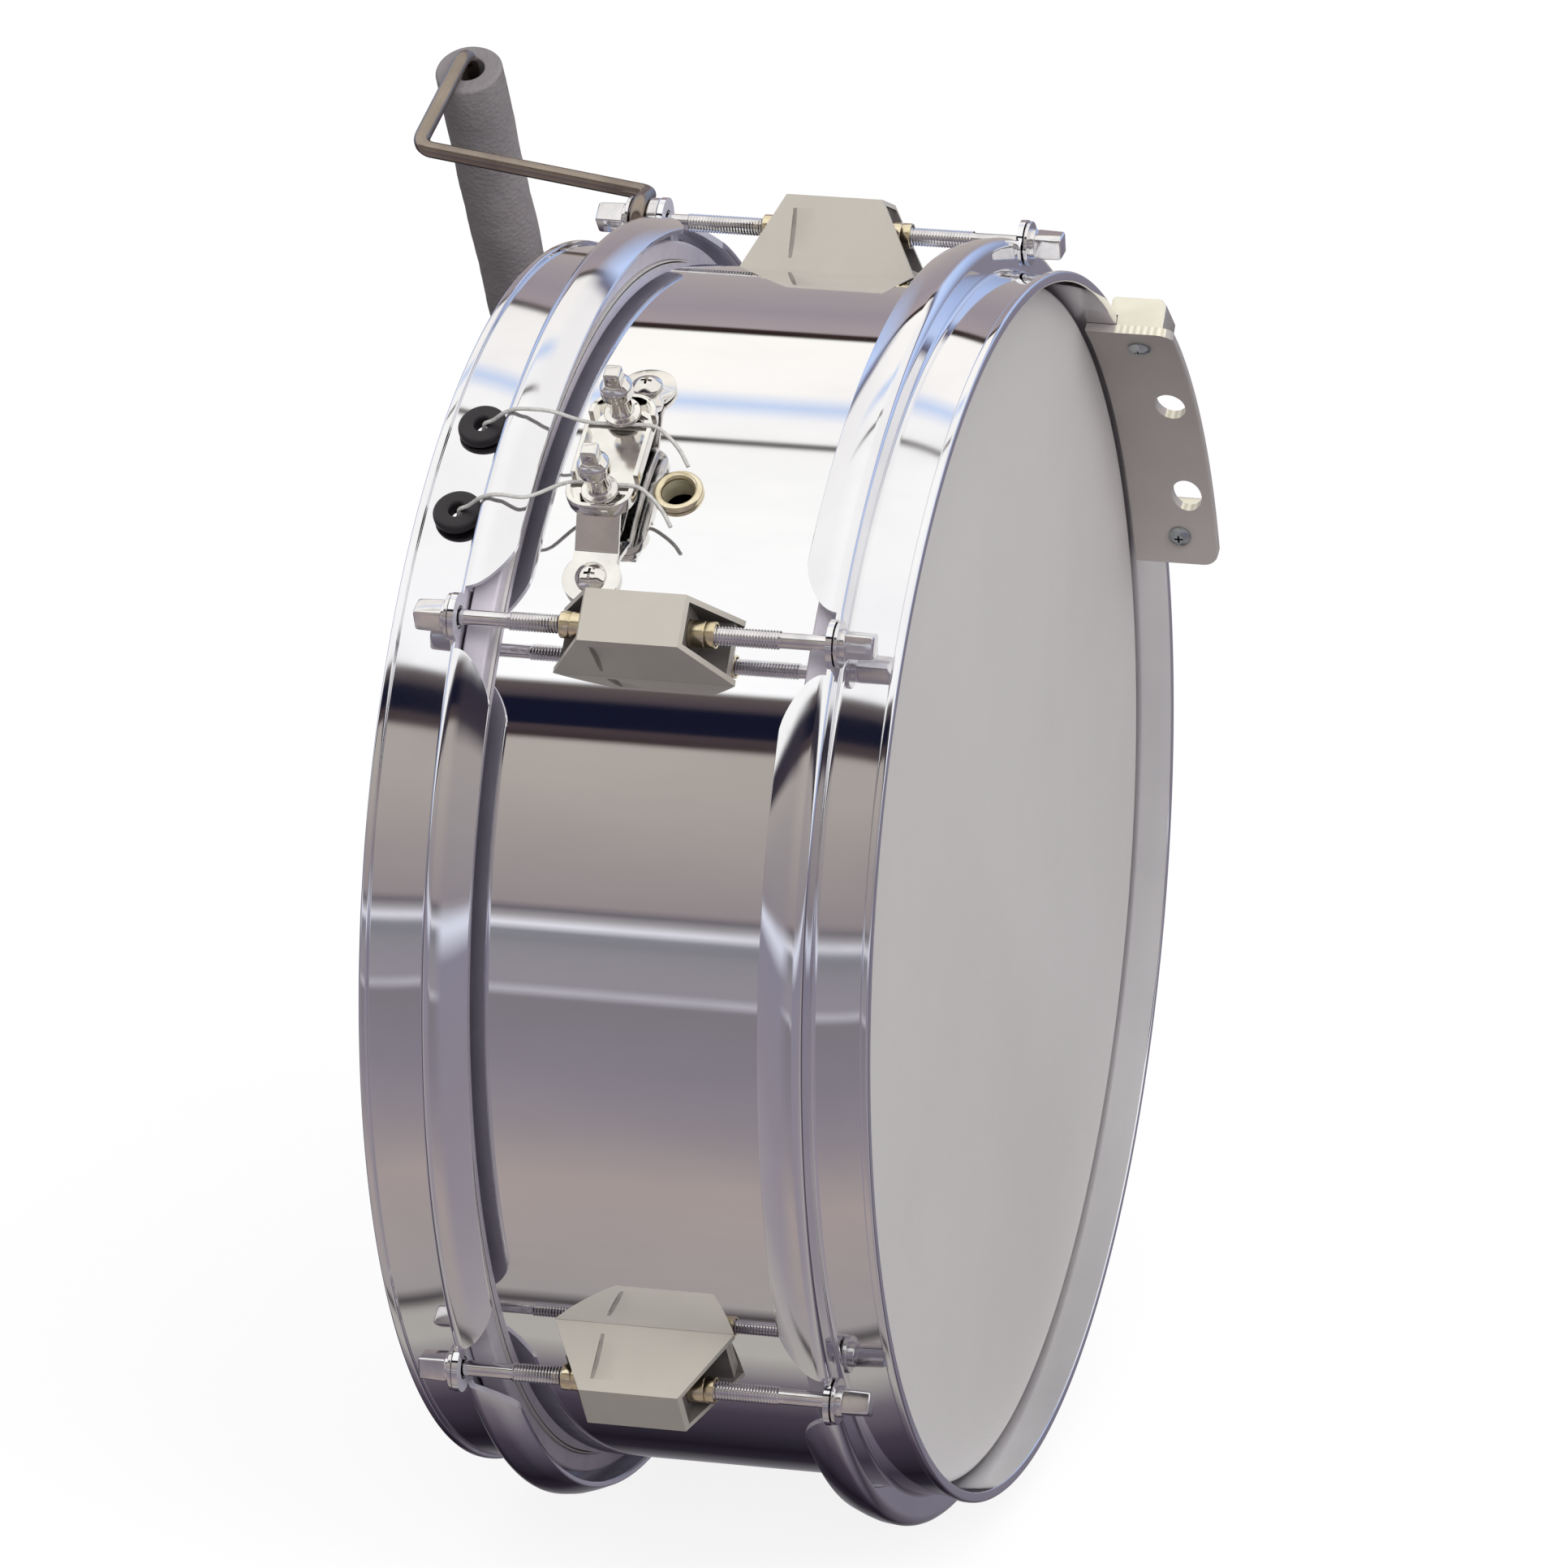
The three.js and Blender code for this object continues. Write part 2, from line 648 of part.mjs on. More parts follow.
// One casing, about the drum's middle: top and side walls, two webs that hold the nuts, and two feet
// with the screws that come up through the shell.
function lugGeometry() {
  const low = shellRadius * facetShare;
  const high = shellRadius + lugHeight;
  const foot = [lugBaseLength, lugBaseWidth];
  const top = [lugTopLength, lugTopWidth];
  const outer = tapered(foot, top, low, high);
  const through = lugBaseLength + 2 * overrun;
  const hollowFoot = [through, lugBaseWidth - 2 * lugSheet];
  const hollowTop = [through, lugTopWidth - 2 * lugSheet];
  const hollow = tapered(hollowFoot, hollowTop, low - overrun, high - lugSheet);
  const wide = [-lugBaseWidth, lugBaseWidth];
  const inner = [];
  for (const side of [-1, 1]) {
    const span = (from, to) => [side * from, side * to].sort((a, b) => a - b);
    inner.push(slab(span(lugWebPlace, lugWebPlace + lugWebThickness), wide, [low, high]));
    inner.push(slab(span(lugWebPlace, lugFootEnd), wide, [low, shellRadius + lugFootHeight]));
  }
  const shaped = join([cut(outer, [hollow]), common(join(inner), outer)]);
  const nutHole = revolve([[-through, 0], [-through, nutRadius + seatGap], [through, nutRadius + seatGap],
    [through, 0]], boltSides).translate(0, 0, rodCircle);
  const dimples = [];
  for (const side of [-1, 1]) {
    const face = side * (lugTopWidth / 2 + lugBaseWidth / 2) / 2;
    const middle = shellRadius + lugHeight / 2;
    const dimple = slab([-lugDimpleWidth / 2, lugDimpleWidth / 2], [-lugDimpleDepth, lugDimpleDepth],
      [-lugDimpleHeight / 2, lugDimpleHeight / 2]);
    const lean = Math.atan2((lugBaseWidth - lugTopWidth) / 2, high - low);
    dimples.push(dimple.rotateX(side * lean).translate(-lugDimplePlace, face, middle));
  }
  const fitted = cut(shaped.translate(drumMiddle, 0, 0), [
    shellEnvelope(),
    nutHole.translate(drumMiddle, 0, 0),
    ...dimples.map((dimple) => dimple.translate(drumMiddle, 0, 0)),
  ]);
  return join([fitted, lugScrew(drumMiddle - lugScrewPlace), lugScrew(drumMiddle + lugScrewPlace)]);
}

function ventGeometry() {
  const seat = shellRadius + seatGap;
  const top = seat + ventFlangeHeight;
  const under = (shellRadius - shellWall) * facetShare - seatGap;
  return turnedOut([
    [under - ventInnerFlange, ventBoreRadius],
    [under - ventInnerFlange, ventFlangeRadius],
    [under, ventFlangeRadius],
    [under, ventNeckRadius],
    [seat, ventNeckRadius],
    [seat, ventFlangeRadius],
    [top - ventFlangeHeight / 2, ventFlangeRadius],
    [top, (ventFlangeRadius + ventBoreRadius) / 2],
    [top - ventFlangeHeight / 3, ventBoreRadius],
  ], eyeletSides);
}

// Heights of the strainer's parts above the drum's axis
const deckLow = shellRadius + bridgeDeckHeight;
const deckTop = deckLow + bridgeSheet;
const trayLow = deckTop + seatGap;
const trayFloor = trayLow + traySheet;
const cordHeight = trayFloor + seatGap + cordRadius;
const clampSeat = cordHeight + cordRadius + seatGap;
const cordOffset = clampShankRadius + cordRadius + 2 * seatGap;
const footSeat = shellRadius + seatGap + bridgeSheet + seatGap;
const buttCordHeight = deckTop + seatGap + cordRadius;
const buttBarLow = buttCordHeight + cordRadius + seatGap;

// A strap that stands on the shell on two round feet, with a flat deck between them.
function bridgeGeometry(screwPlaces, fusedScrews) {
  const footTurn = radians(bridgeFootTurn);
  const screwHeight = shellRadius + seatGap + bridgeSheet / 2;
  const half = (side) => {
    const screw = new THREE.Vector2(side * screwHeight * Math.sin(footTurn), screwHeight * Math.cos(footTurn));
    const slope = new THREE.Vector2(side * Math.cos(footTurn), -Math.sin(footTurn));
    return [
      screw.clone().addScaledVector(slope, bridgeFootRadius),
      screw.clone().addScaledVector(slope, -bridgeFootRadius),
      new THREE.Vector2(side * bridgeDeckHalf, (deckLow + deckTop) / 2),
    ];
  };
  const strip = ribbon([...half(1), ...half(-1).reverse()], bridgeSheet);
  const strap = pressAlong(strip, -bridgeFootRadius, bridgeFootRadius);
  const low = shellRadius * Math.cos(2 * footTurn);
  const high = deckTop + overrun;
  const widths = [slab([-bridgeWidth / 2, bridgeWidth / 2], [-bridgeFootReach, bridgeFootReach], [low, high])];
  const holes = [shellEnvelope().translate(-strainerPlace, 0, 0)];
  for (const side of [-1, 1]) {
    const turn = radians(side * bridgeFootTurn);
    widths.push(barOut(bridgeFootRadius, low, high, hoseSides).rotateX(turn));
    if (fusedScrews.length === 0) holes.push(barOut(footScrewRadius + seatGap, low, high, boltSides).rotateX(turn));
    for (const screwPlace of screwPlaces) {
      const clamp = barOut(clampShankRadius + seatGap, low, high, boltSides);
      holes.push(clamp.translate(0, side * screwPlace, 0));
    }
  }
  return join([cut(common(strap, join(widths)), holes), ...fusedScrews]);
}

// An oblong tray with raised walls, notched where the cords pass.
function trayGeometry() {
  const outer = roundedRectangle([-trayWidth / 2, trayWidth / 2], [-trayLength / 2, trayLength / 2], trayCorner);
  const inner = roundedRectangle([traySheet - trayWidth / 2, trayWidth / 2 - traySheet],
    [traySheet - trayLength / 2, trayLength / 2 - traySheet], trayCorner - traySheet);
  const tools = [pressOut(inner, trayFloor, trayLow + trayDepth + overrun)];
  for (const side of [-1, 1]) {
    const across = side * clampScrewPlace;
    const hole = barOut(clampShankRadius + seatGap, trayLow - overrun, trayFloor + overrun, boltSides);
    tools.push(hole.translate(0, across, 0));
    const cord = side * (clampScrewPlace - cordOffset);
    const notch = [cord - 4 * cordRadius, cord + 4 * cordRadius];
    tools.push(slab([-trayWidth, trayWidth], notch, [trayFloor, trayLow + trayDepth + overrun]));
  }
  return cut(pressOut(outer, trayLow, trayLow + trayDepth), tools);
}

function clampScrewGeometry() {
  const neck = clampSeat + clampWasherThickness;
  const bulb = neck + clampNeckHeight;
  const head = bulb + clampBulbHeight;
  const shank = turnedOut([
    [deckLow - clampTip, 0],
    [deckLow - clampTip, clampShankRadius],
    [clampSeat, clampShankRadius],
    [clampSeat, clampWasherRadius],
    [neck, clampWasherRadius],
    [neck, clampNeckRadius],
    [bulb, clampNeckRadius],
    [bulb + clampBulbHeight / 3, clampBulbRadius],
    [head - clampBulbHeight / 3, clampBulbRadius],
    [head, clampNeckRadius],
    [head, 0],
  ], boltSides);
  const half = clampHeadWidth / 2;
  return join([shank, slab([-half, half], [-half, half], [head - clampBulbHeight / 3, head + clampHeadHeight])]);
}

// A rubber bush in the snare hoop's wall. It stands proud outside and is flush inside.
function grommetGeometry() {
  const seat = hoopWallRadius + seatGap;
  const top = seat + grommetHeight;
  return turnedOut([
    [hoopInnerRadius, grommetBoreRadius],
    [hoopInnerRadius, grommetNeckRadius],
    [seat, grommetNeckRadius],
    [seat, grommetRadius],
    [top - grommetRound, grommetRadius],
    [top, grommetRadius - grommetRound],
    [top, grommetBoreRadius],
  ], grommetSides);
}

// Straight strands between two end plates, in the frame of the snare side: along is out of the head.
function snareWiresGeometry() {
  const strand = seatGap + wireRadius;
  const half = ((wireCount - 1) * wirePitch) / 2 + wireRadius + wirePlateMargin;
  const solids = [];
  for (const end of [-1, 1]) {
    const far = [end * wireHalfLength, end * (wireHalfLength + wirePlateLength)].sort((a, b) => a - b);
    solids.push(slab([seatGap, seatGap + wirePlateThickness], [-half, half], far));
  }
  const reach = wireHalfLength + wirePlateLength / 2;
  for (let wire = 0; wire < wireCount; wire += 1) {
    const across = (wire - (wireCount - 1) / 2) * wirePitch;
    solids.push(barOut(wireRadius, -reach, reach, wireSides).translate(strand, across, 0));
  }
  return join(solids);
}

// The way of a cord from the wires' end plate to the hoop, in the snare side's own frame.
// It lies on the plate, rounds the edge of the head, goes out through the grommet and climbs over the
// skirt's shoulder. Each point is along, across, out.
function cordOverHoop(turn, across) {
  const onPlate = 2 * seatGap + wirePlateThickness + cordRadius;
  const plateEnd = wireHalfLength + wirePlateLength;
  const overHead = cordRadius + 2 * seatGap;
  const roundHead = (edgeRadius + overHead) * Math.SQRT1_2;
  const overSkirt = skirtRadius + 2 * seatGap + cordRadius;
  const bushTop = hoopWallRadius + seatGap + grommetHeight;
  const lean = (grommetBoreRadius - cordRadius) / 2;
  return [
    [onPlate, plateEnd - wirePlateLength],
    [onPlate, plateEnd - wirePlateLength / 2],
    [onPlate, plateEnd + seatGap],
    [(onPlate + overHead) / 2, (plateEnd + flatRadius) / 2],
    [overHead, flatRadius],
    [roundHead - edgeRadius, flatRadius + roundHead],
    [grommetPlace + lean, hoopInnerRadius + cordRadius],
    [grommetPlace, (hoopInnerRadius + bushTop) / 2],
    [grommetPlace - lean, bushTop + cordRadius],
    [grommetPlace - grommetRadius / 2, bushTop + 4 * cordRadius],
    [snareFlange, overSkirt - skirtShoulder / 2],
    [snareFlange - skirtShoulder, overSkirt],
    [snareFlange - skirtBelly, overSkirt + seatGap],
    [snareFlange - skirtDepth, overSkirt],
  ].map(([along, out]) => inStation(turn, along, across, Math.sqrt(out * out - across * across)));
}

function cordGeometry(points) {
  const smooth = new THREE.CatmullRomCurve3(points, false, 'centripetal');
  return tube(smooth.getPoints(cordSteps), cordRadius, cordSides);
}

// In the snare side's frame the turns run the other way. The cord passes between the screws, and its
// free end leaves the tray sideways and droops.
function strainerCord(side) {
  const turn = -strainerTurn;
  const along = snareFace - strainerPlace;
  const across = side * (clampScrewPlace - cordOffset);
  const edge = trayWidth / 2;
  const tail = [
    inStation(turn, along + edge, across, cordHeight),
    inStation(turn, along, across, cordHeight),
    inStation(turn, along - edge, across, cordHeight),
    inStation(turn, along - edge - cordTail / 3, across + cordTail / 5, cordHeight - cordTail / 20),
    inStation(turn, along - edge - (2 * cordTail) / 3, across + cordTail / 2, cordHeight - cordTail / 6),
    inStation(turn, along - edge - cordTail * 0.9, across + cordTail * 0.8, cordHeight - cordTail / 3),
  ];
  return cordGeometry([...cordOverHoop(-snareTurn, side * cordSpread), ...tail]);
}

function buttCord(side) {
  const turn = -buttTurn;
  const along = snareFace - strainerPlace;
  const across = side * cordSpread;
  const tail = [
    inStation(turn, along + bridgeWidth / 2, across, buttCordHeight),
    inStation(turn, along, across, buttCordHeight),
    inStation(turn, along - bridgeWidth / 2, across, buttCordHeight),
    inStation(turn, along - bridgeWidth / 2 - cordTail / 3, across, buttCordHeight),
  ];
  return cordGeometry([...cordOverHoop(turn, across), ...tail]);
}

function buttBarGeometry() {
  const outline = roundedRectangle([-buttBarWidth / 2, buttBarWidth / 2], [-buttBarLength / 2, buttBarLength / 2],
    traySheet);
  const high = buttBarLow + buttBarThickness;
  const holes = [-1, 1].map((side) => {
    const hole = barOut(clampShankRadius + seatGap, buttBarLow - overrun, high + overrun, boltSides);
    return hole.translate(0, side * buttScrewPlace, 0);
  });
  return cut(pressOut(outline, buttBarLow, high), holes);
}

// A screw that stands out from the drum, from its tip to a domed head on its seat.
function screwOut(tip, radius, seat, headRadius, headHeight) {
  return turnedOut([
    [tip, 0],
    [tip, radius],
    [seat, radius],
    [seat, headRadius],
    [seat + headHeight / 2, headRadius],
    [seat + headHeight, headRadius / 2],
    [seat + headHeight, 0],
  ], boltSides);
}

function footScrewGeometry() {
  return screwOut(shellRadius - shellWall - footScrewTip, footScrewRadius, footSeat, footScrewHeadRadius,
    footScrewHeadHeight);
}

function buttScrewGeometry() {
  return screwOut(deckLow - clampTip, clampShankRadius, buttBarLow + buttBarThickness + seatGap, clampWasherRadius,
    buttScrewHeadHeight);
}

// The bail's wire from the hook round one rod to the middle of the crossbar, in the snare side's station.
// The side is minus or plus one, across. The bail is bent a little askew, so one side rises more.
const bailLevel = snareFlange + seatGap + bailSpacer + seatGap + bailWireRadius;
const sleeveLean = Math.atan(bailSkew / (rodCircle * Math.sin(radians(lugPitch / 2))));

function bailHalf(side) {
  const rodAcross = rodCircle * Math.sin(radians(lugPitch / 2));
  const rodOut = rodCircle * Math.cos(radians(lugPitch / 2));
  const level = bailLevel;
  const point = (along, across, out) => new THREE.Vector3(along, side * (rodAcross + across), rodOut + out);
  const hook = [];
  for (let step = 0; step <= 2 * bendSteps + 1; step += 1) {
    const angle = radians(bailHookStart + (bailHookEnd - bailHookStart) * (step / (2 * bendSteps + 1)));
    hook.push(point(level, bailHookRadius * Math.cos(angle), bailHookRadius * Math.sin(angle)));
  }
  const rise = point(level, 0, bailArmHeight);
  const corner = point(bailCorner, 0, bailCornerRise + side * bailSkew);
  const halfway = rise.clone().add(corner).divideScalar(2);
  const loop = [
    halfway,
    corner,
    point(bailCrossbar, 0, bailCrossbarRise + side * bailSkew),
    new THREE.Vector3(bailCrossbar, 0, rodOut + bailCrossbarRise),
  ];
  const arm = roundedCorners([hook[hook.length - 1], rise, halfway], bailHookBend);
  return [...hook.slice(0, -1), ...arm.slice(0, -1), ...roundedCorners(loop, bailBend).slice(1)];
}

function bailGeometry() {
  const first = bailHalf(-1).slice(0, -1);
  const second = bailHalf(1).slice(0, -1).reverse();
  return tube([...first, ...second], bailWireRadius, bailSides);
}

// A hose round the crossbar. Its bore is wider than the wire, so it hangs with the wire at the bore's top.
function sleeveGeometry() {
  const half = rodCircle * Math.sin(radians(lugPitch / 2)) - bailBend - seatGap;
  const ring = revolve([[-half, sleeveBoreRadius], [-half, sleeveRadius], [half, sleeveRadius],
    [half, sleeveBoreRadius]], hoseSides);
  return ring.rotateZ(Math.PI / 2).rotateX(sleeveLean);
}

function sleevePlace(turn) {
  const down = new THREE.Vector3(0, 0, -1);
  down.applyAxisAngle(new THREE.Vector3(1, 0, 0), -radians(restRoll));
  down.applyAxisAngle(new THREE.Vector3(0, 0, 1), -Math.PI);
  down.applyAxisAngle(new THREE.Vector3(1, 0, 0), -radians(turn));
  down.projectOnPlane(new THREE.Vector3(0, Math.cos(sleeveLean), Math.sin(sleeveLean))).normalize();
  const centre = new THREE.Vector3(bailCrossbar, 0,
    rodCircle * Math.cos(radians(lugPitch / 2)) + bailCrossbarRise);
  return centre.addScaledVector(down, sleeveBoreRadius - bailWireRadius - seatGap).toArray();
}

// The carrier's plate is a piece of a rolled ring, so that it lies against the hoop's wall all along.
function carrierPlateGeometry() {
  const outer = hoopInnerRadius - seatGap;
  const inner = outer - carrierThickness;
  const ring = revolve([[carrierSeat, inner], [carrierSeat, outer], [carrierReach, outer], [carrierReach, inner]],
    ringSides);
  const outline = new THREE.Shape();
  outline.moveTo(carrierSeat - overrun, -carrierHalfWidth);
  outline.lineTo(carrierReach - carrierCorner, -carrierHalfWidth);
  outline.absarc(carrierReach - carrierCorner, carrierCorner - carrierHalfWidth, carrierCorner, -Math.PI / 2, 0, false);
  outline.lineTo(carrierReach, carrierHalfWidth);
  outline.lineTo(carrierSeat - overrun, carrierHalfWidth);
  const low = inner * Math.cos(Math.asin(carrierHalfWidth / inner)) - overrun;
  const piece = common(ring, pressOut(outline, low, outer + overrun).rotateX(radians(carrierTurn)));
  const holes = slingHoleTurns.map((turn) => barOut(slingHoleRadius, low, outer + overrun, eyeletSides)
    .translate(slingHoleReach, 0, 0).rotateX(radians(carrierTurn + turn)));
  for (const turn of Object.values(carrierScrewTurns)) {
    const hole = barOut(carrierScrewRadius + seatGap, low, outer + overrun, boltSides);
    holes.push(hole.translate(carrierScrewReach, 0, 0).rotateX(radians(carrierTurn + turn)));
  }
  return cut(piece, holes);
}

// A clamp block outside the rim: its jaw goes over the rolled bead.
// Each is cut to the hoop and the plate where it stands, and bored for its screw.
function blockGeometry(blockTurn, screwTurn) {
  const plateOuter = hoopInnerRadius;
  const high = hoopInnerRadius + blockHeight;
  const foot = rimProud - blockJaw;
  const outline = new THREE.Shape([
    new THREE.Vector2(foot, plateOuter - overrun),
    new THREE.Vector2(blockReach, plateOuter - overrun),
    new THREE.Vector2(blockReach, high - blockChamfer),
    new THREE.Vector2(blockReach - blockChamfer, high),
    new THREE.Vector2(foot + blockChamfer / 2, high),
    new THREE.Vector2(foot, high - blockChamfer / 2),
  ]);
  const body = pressAlong(outline, -blockWidth / 2, blockWidth / 2).rotateZ(-Math.PI / 2);
  const wall = hoopWallRadius + seatGap;
  const hoop = revolve([
    [foot - overrun, 0],
    [foot - overrun, wall],
    [rimProud - rimBead - seatGap, wall],
    [rimProud - rimBead - seatGap, rimRadius + seatGap],
    [rimProud + seatGap, rimRadius + seatGap],
    [rimProud + seatGap, plateOuter],
    [blockReach + overrun, plateOuter],
    [blockReach + overrun, 0],
  ], ringSides);
  const bore = barOut(carrierScrewRadius + seatGap, plateOuter - overrun, hoopInnerRadius + carrierScrewTip, boltSides);
  bore.translate(carrierScrewReach, 0, 0).rotateX(radians(carrierTurn + screwTurn));
  return cut(body.rotateX(radians(carrierTurn + blockTurn)), [hoop, bore]);
}

// The screw goes outwards through the plate, with its head inside.
function carrierScrewGeometry() {
  const seat = (hoopInnerRadius - seatGap - carrierThickness) * facetShare - seatGap;
  return turnedOut([
    [seat - carrierScrewHeadHeight, 0],
    [seat - carrierScrewHeadHeight, carrierScrewHeadRadius / 2],
    [seat - carrierScrewHeadHeight / 2, carrierScrewHeadRadius],
    [seat, carrierScrewHeadRadius],
    [seat, carrierScrewRadius],
    [hoopInnerRadius + carrierScrewTip - seatGap, carrierScrewRadius],
    [hoopInnerRadius + carrierScrewTip - seatGap, 0],
  ], boltSides);
}

// The drum's pieces in their places

function addHeadAndHoop(side, name, flange, grommetTurns) {
  addPiece(side, `${name}_head_film`, headGeometry(flange), headFilm());
  addPiece(side, `${name}_flesh_hoop`, fleshHoopGeometry(flange), aluminium());
  addPiece(side, `${name}_hoop`, hoopGeometry(flange, grommetTurns), chrome());
}

// One lug's rod and nut on one side. A rod that also holds the bail's hook sits as much higher.
function addTensionRod(side, turn, name, flange, holdsBail) {
  const place = station(side, turn);
  const low = flange + seatGap;
  const seat = holdsBail ? bailLevel + bailWireRadius + seatGap : low;
  addPiece(place, `${name}_tension_rod`, rodGeometry(seat, low), chrome(), [0, 0, rodCircle]);
  addPiece(place, `${name}_swivel_nut`, nutGeometry(), brass(), [0, 0, rodCircle]);
}

function addLugs(drum, snareSide) {
  for (let lug = 0; lug < lugCount; lug += 1) {
    const turn = lug * lugPitch;
    const number = lug + 1;
    addPiece(station(drum, turn), `lug_${number}_casing`, lugGeometry(), satinMetal());
    addTensionRod(drum, turn, `batter_${number}`, batterFlange, false);
    addTensionRod(snareSide, -turn, `snare_${number}`, snareFlange, lug === 0 || lug === lugCount - 1);
  }
}

function addStrainer(drum) {
  const place = station(drum, strainerTurn);
  addPiece(place, 'strainer_bridge', bridgeGeometry([clampScrewPlace], []), chrome(), [strainerPlace, 0, 0]);
  addPiece(place, 'strainer_tray', trayGeometry(), chrome(), [strainerPlace, 0, 0]);
  for (const [name, side] of [['upper', 1], ['lower', -1]]) {
    const clamp = [strainerPlace, side * clampScrewPlace, 0];
    addPiece(place, `strainer_${name}_clamp_screw`, clampScrewGeometry(), chrome(), clamp);
    const foot = station(place, -side * bridgeFootTurn);
    addPiece(foot, `strainer_${name}_foot_screw`, footScrewGeometry(), chrome(), [strainerPlace, 0, 0]);
  }
}

function addButt(drum) {
  const place = station(drum, buttTurn);
  const feet = [-1, 1].map((side) => footScrewGeometry().rotateX(radians(side * bridgeFootTurn)));
  addPiece(place, 'butt_bridge', bridgeGeometry([buttScrewPlace], feet), chrome(), [strainerPlace, 0, 0]);
  addPiece(place, 'butt_bar', buttBarGeometry(), chrome(), [strainerPlace, 0, 0]);
  for (const [name, side] of [['first', -1], ['second', 1]]) {
    const screw = [strainerPlace, side * buttScrewPlace, 0];
    addPiece(place, `butt_${name}_screw`, buttScrewGeometry(), chrome(), screw);
  }
}

function addSnares(snareSide) {
  for (const [end, turn] of [['strainer', -snareTurn], ['butt', -buttTurn]]) {
    for (const [name, side] of [['upper', -1], ['lower', 1]]) {
      const geometry = end === 'strainer' ? strainerCord(side) : buttCord(side);
      addPiece(snareSide, `${end}_${name}_cord`, geometry, cordFibre());
      const bush = [grommetPlace, side * cordSpread, 0];
      addPiece(station(snareSide, turn), `${end}_${name}_grommet`, grommetGeometry(), blackRubber(), bush);
    }
  }
  addPiece(station(snareSide, -snareTurn), 'snare_wires', snareWiresGeometry(), chrome());
}

function addLegRest(snareSide) {
  const turn = lugPitch / 2;
  const place = station(snareSide, turn);
  addPiece(place, 'leg_rest_bail', bailGeometry(), nickelWire());
  addPiece(place, 'leg_rest_sleeve', sleeveGeometry(), greyFoam(), sleevePlace(turn));
}

function addCarrier(drum) {
  addPiece(drum, 'carrier_plate', carrierPlateGeometry(), greyPlate());
  for (const name of ['upper', 'lower']) {
    addPiece(drum, `carrier_${name}_block`, blockGeometry(blockTurns[name], carrierScrewTurns[name]), paleMetal());
    const place = station(drum, carrierTurn + carrierScrewTurns[name]);
    addPiece(place, `carrier_${name}_screw`, carrierScrewGeometry(), zinc(), [carrierScrewReach, 0, 0]);
  }
}

function buildDrum() {
  const drum = new THREE.Group();
  drum.rotation.x = radians(restRoll);
  const snareSide = new THREE.Group();
  snareSide.rotation.z = Math.PI;
  snareSide.position.x = snareFace;
  drum.add(snareSide);
  addPiece(drum, 'shell', shellGeometry(), chrome());
  addPiece(station(drum, ventTurn), 'vent_eyelet', ventGeometry(), brass(), [ventPlace, 0, 0]);
  addHeadAndHoop(drum, 'batter', batterFlange, []);
  addHeadAndHoop(snareSide, 'snare', snareFlange, [-snareTurn, -buttTurn]);
  addLugs(drum, snareSide);
  addStrainer(drum);
  addButt(drum);
  addSnares(snareSide);
  addLegRest(snareSide);
  addCarrier(drum);
  return drum;
}

const part = new THREE.Group();
part.add(buildDrum());

export default part;
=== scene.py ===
"""A marching snare drum lying on its side, dressed over its fixed frame.

Sizes are written in millimetres, and a piece becomes metres when it is finished.
"""

from math import asin, atan2, cos, degrees, pi, radians, sin, sqrt, tan

import bmesh
import bpy
from mathutils import Matrix, Vector, noise


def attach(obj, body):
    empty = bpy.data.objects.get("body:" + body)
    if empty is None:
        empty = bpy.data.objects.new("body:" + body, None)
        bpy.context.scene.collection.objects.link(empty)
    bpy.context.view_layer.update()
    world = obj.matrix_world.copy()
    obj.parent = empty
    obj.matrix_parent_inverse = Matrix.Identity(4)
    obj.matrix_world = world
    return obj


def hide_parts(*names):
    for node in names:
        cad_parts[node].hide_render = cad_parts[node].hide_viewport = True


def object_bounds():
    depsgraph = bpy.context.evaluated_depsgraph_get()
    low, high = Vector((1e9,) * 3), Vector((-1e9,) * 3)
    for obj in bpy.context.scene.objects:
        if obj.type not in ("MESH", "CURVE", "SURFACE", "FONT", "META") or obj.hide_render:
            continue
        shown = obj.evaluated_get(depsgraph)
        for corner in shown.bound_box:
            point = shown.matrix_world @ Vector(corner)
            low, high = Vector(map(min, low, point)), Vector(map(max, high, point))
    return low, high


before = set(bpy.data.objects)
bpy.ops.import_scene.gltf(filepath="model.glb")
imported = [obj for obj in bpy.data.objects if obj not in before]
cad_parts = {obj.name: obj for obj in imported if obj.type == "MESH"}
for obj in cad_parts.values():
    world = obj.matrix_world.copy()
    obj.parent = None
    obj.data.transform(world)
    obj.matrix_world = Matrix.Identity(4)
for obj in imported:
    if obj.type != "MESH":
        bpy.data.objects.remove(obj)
frame_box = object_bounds()
scene = bpy.context.scene


# Camera
# It stands low in front of the strainer, a long way off, and looks a little past the batter head.

scene.view_settings.view_transform = "Standard"

camera_azimuth = radians(15.523)
camera_elevation = radians(15.901)
camera_distance = 3.38019
camera_aim = Vector((-0.06618, 0.00551, 0.02444))

to_right = Vector((cos(camera_azimuth), sin(camera_azimuth), 0))
to_camera = Vector((
    sin(camera_azimuth) * cos(camera_elevation),
    -cos(camera_azimuth) * cos(camera_elevation),
    sin(camera_elevation),
))
upwards = to_camera.cross(to_right)

camera_data = bpy.data.cameras.new("photographer")
camera_data.sensor_fit = "HORIZONTAL"
camera_data.sensor_width = 36
camera_data.lens = 260.87
camera_data.clip_end = 20
camera = bpy.data.objects.new("photographer", camera_data)
scene.collection.objects.link(camera)
turned_to_aim = Matrix((to_right, upwards, to_camera)).transposed().to_4x4()
camera.matrix_world = Matrix.Translation(camera_aim + camera_distance * to_camera) @ turned_to_aim
scene.camera = camera


# Studio
# A pale sweep of paper with two soft lamps. Polished metal sees the room as a ring of cards and
# dark gaps round the drum's axis, and the eye sees plain white behind everything.


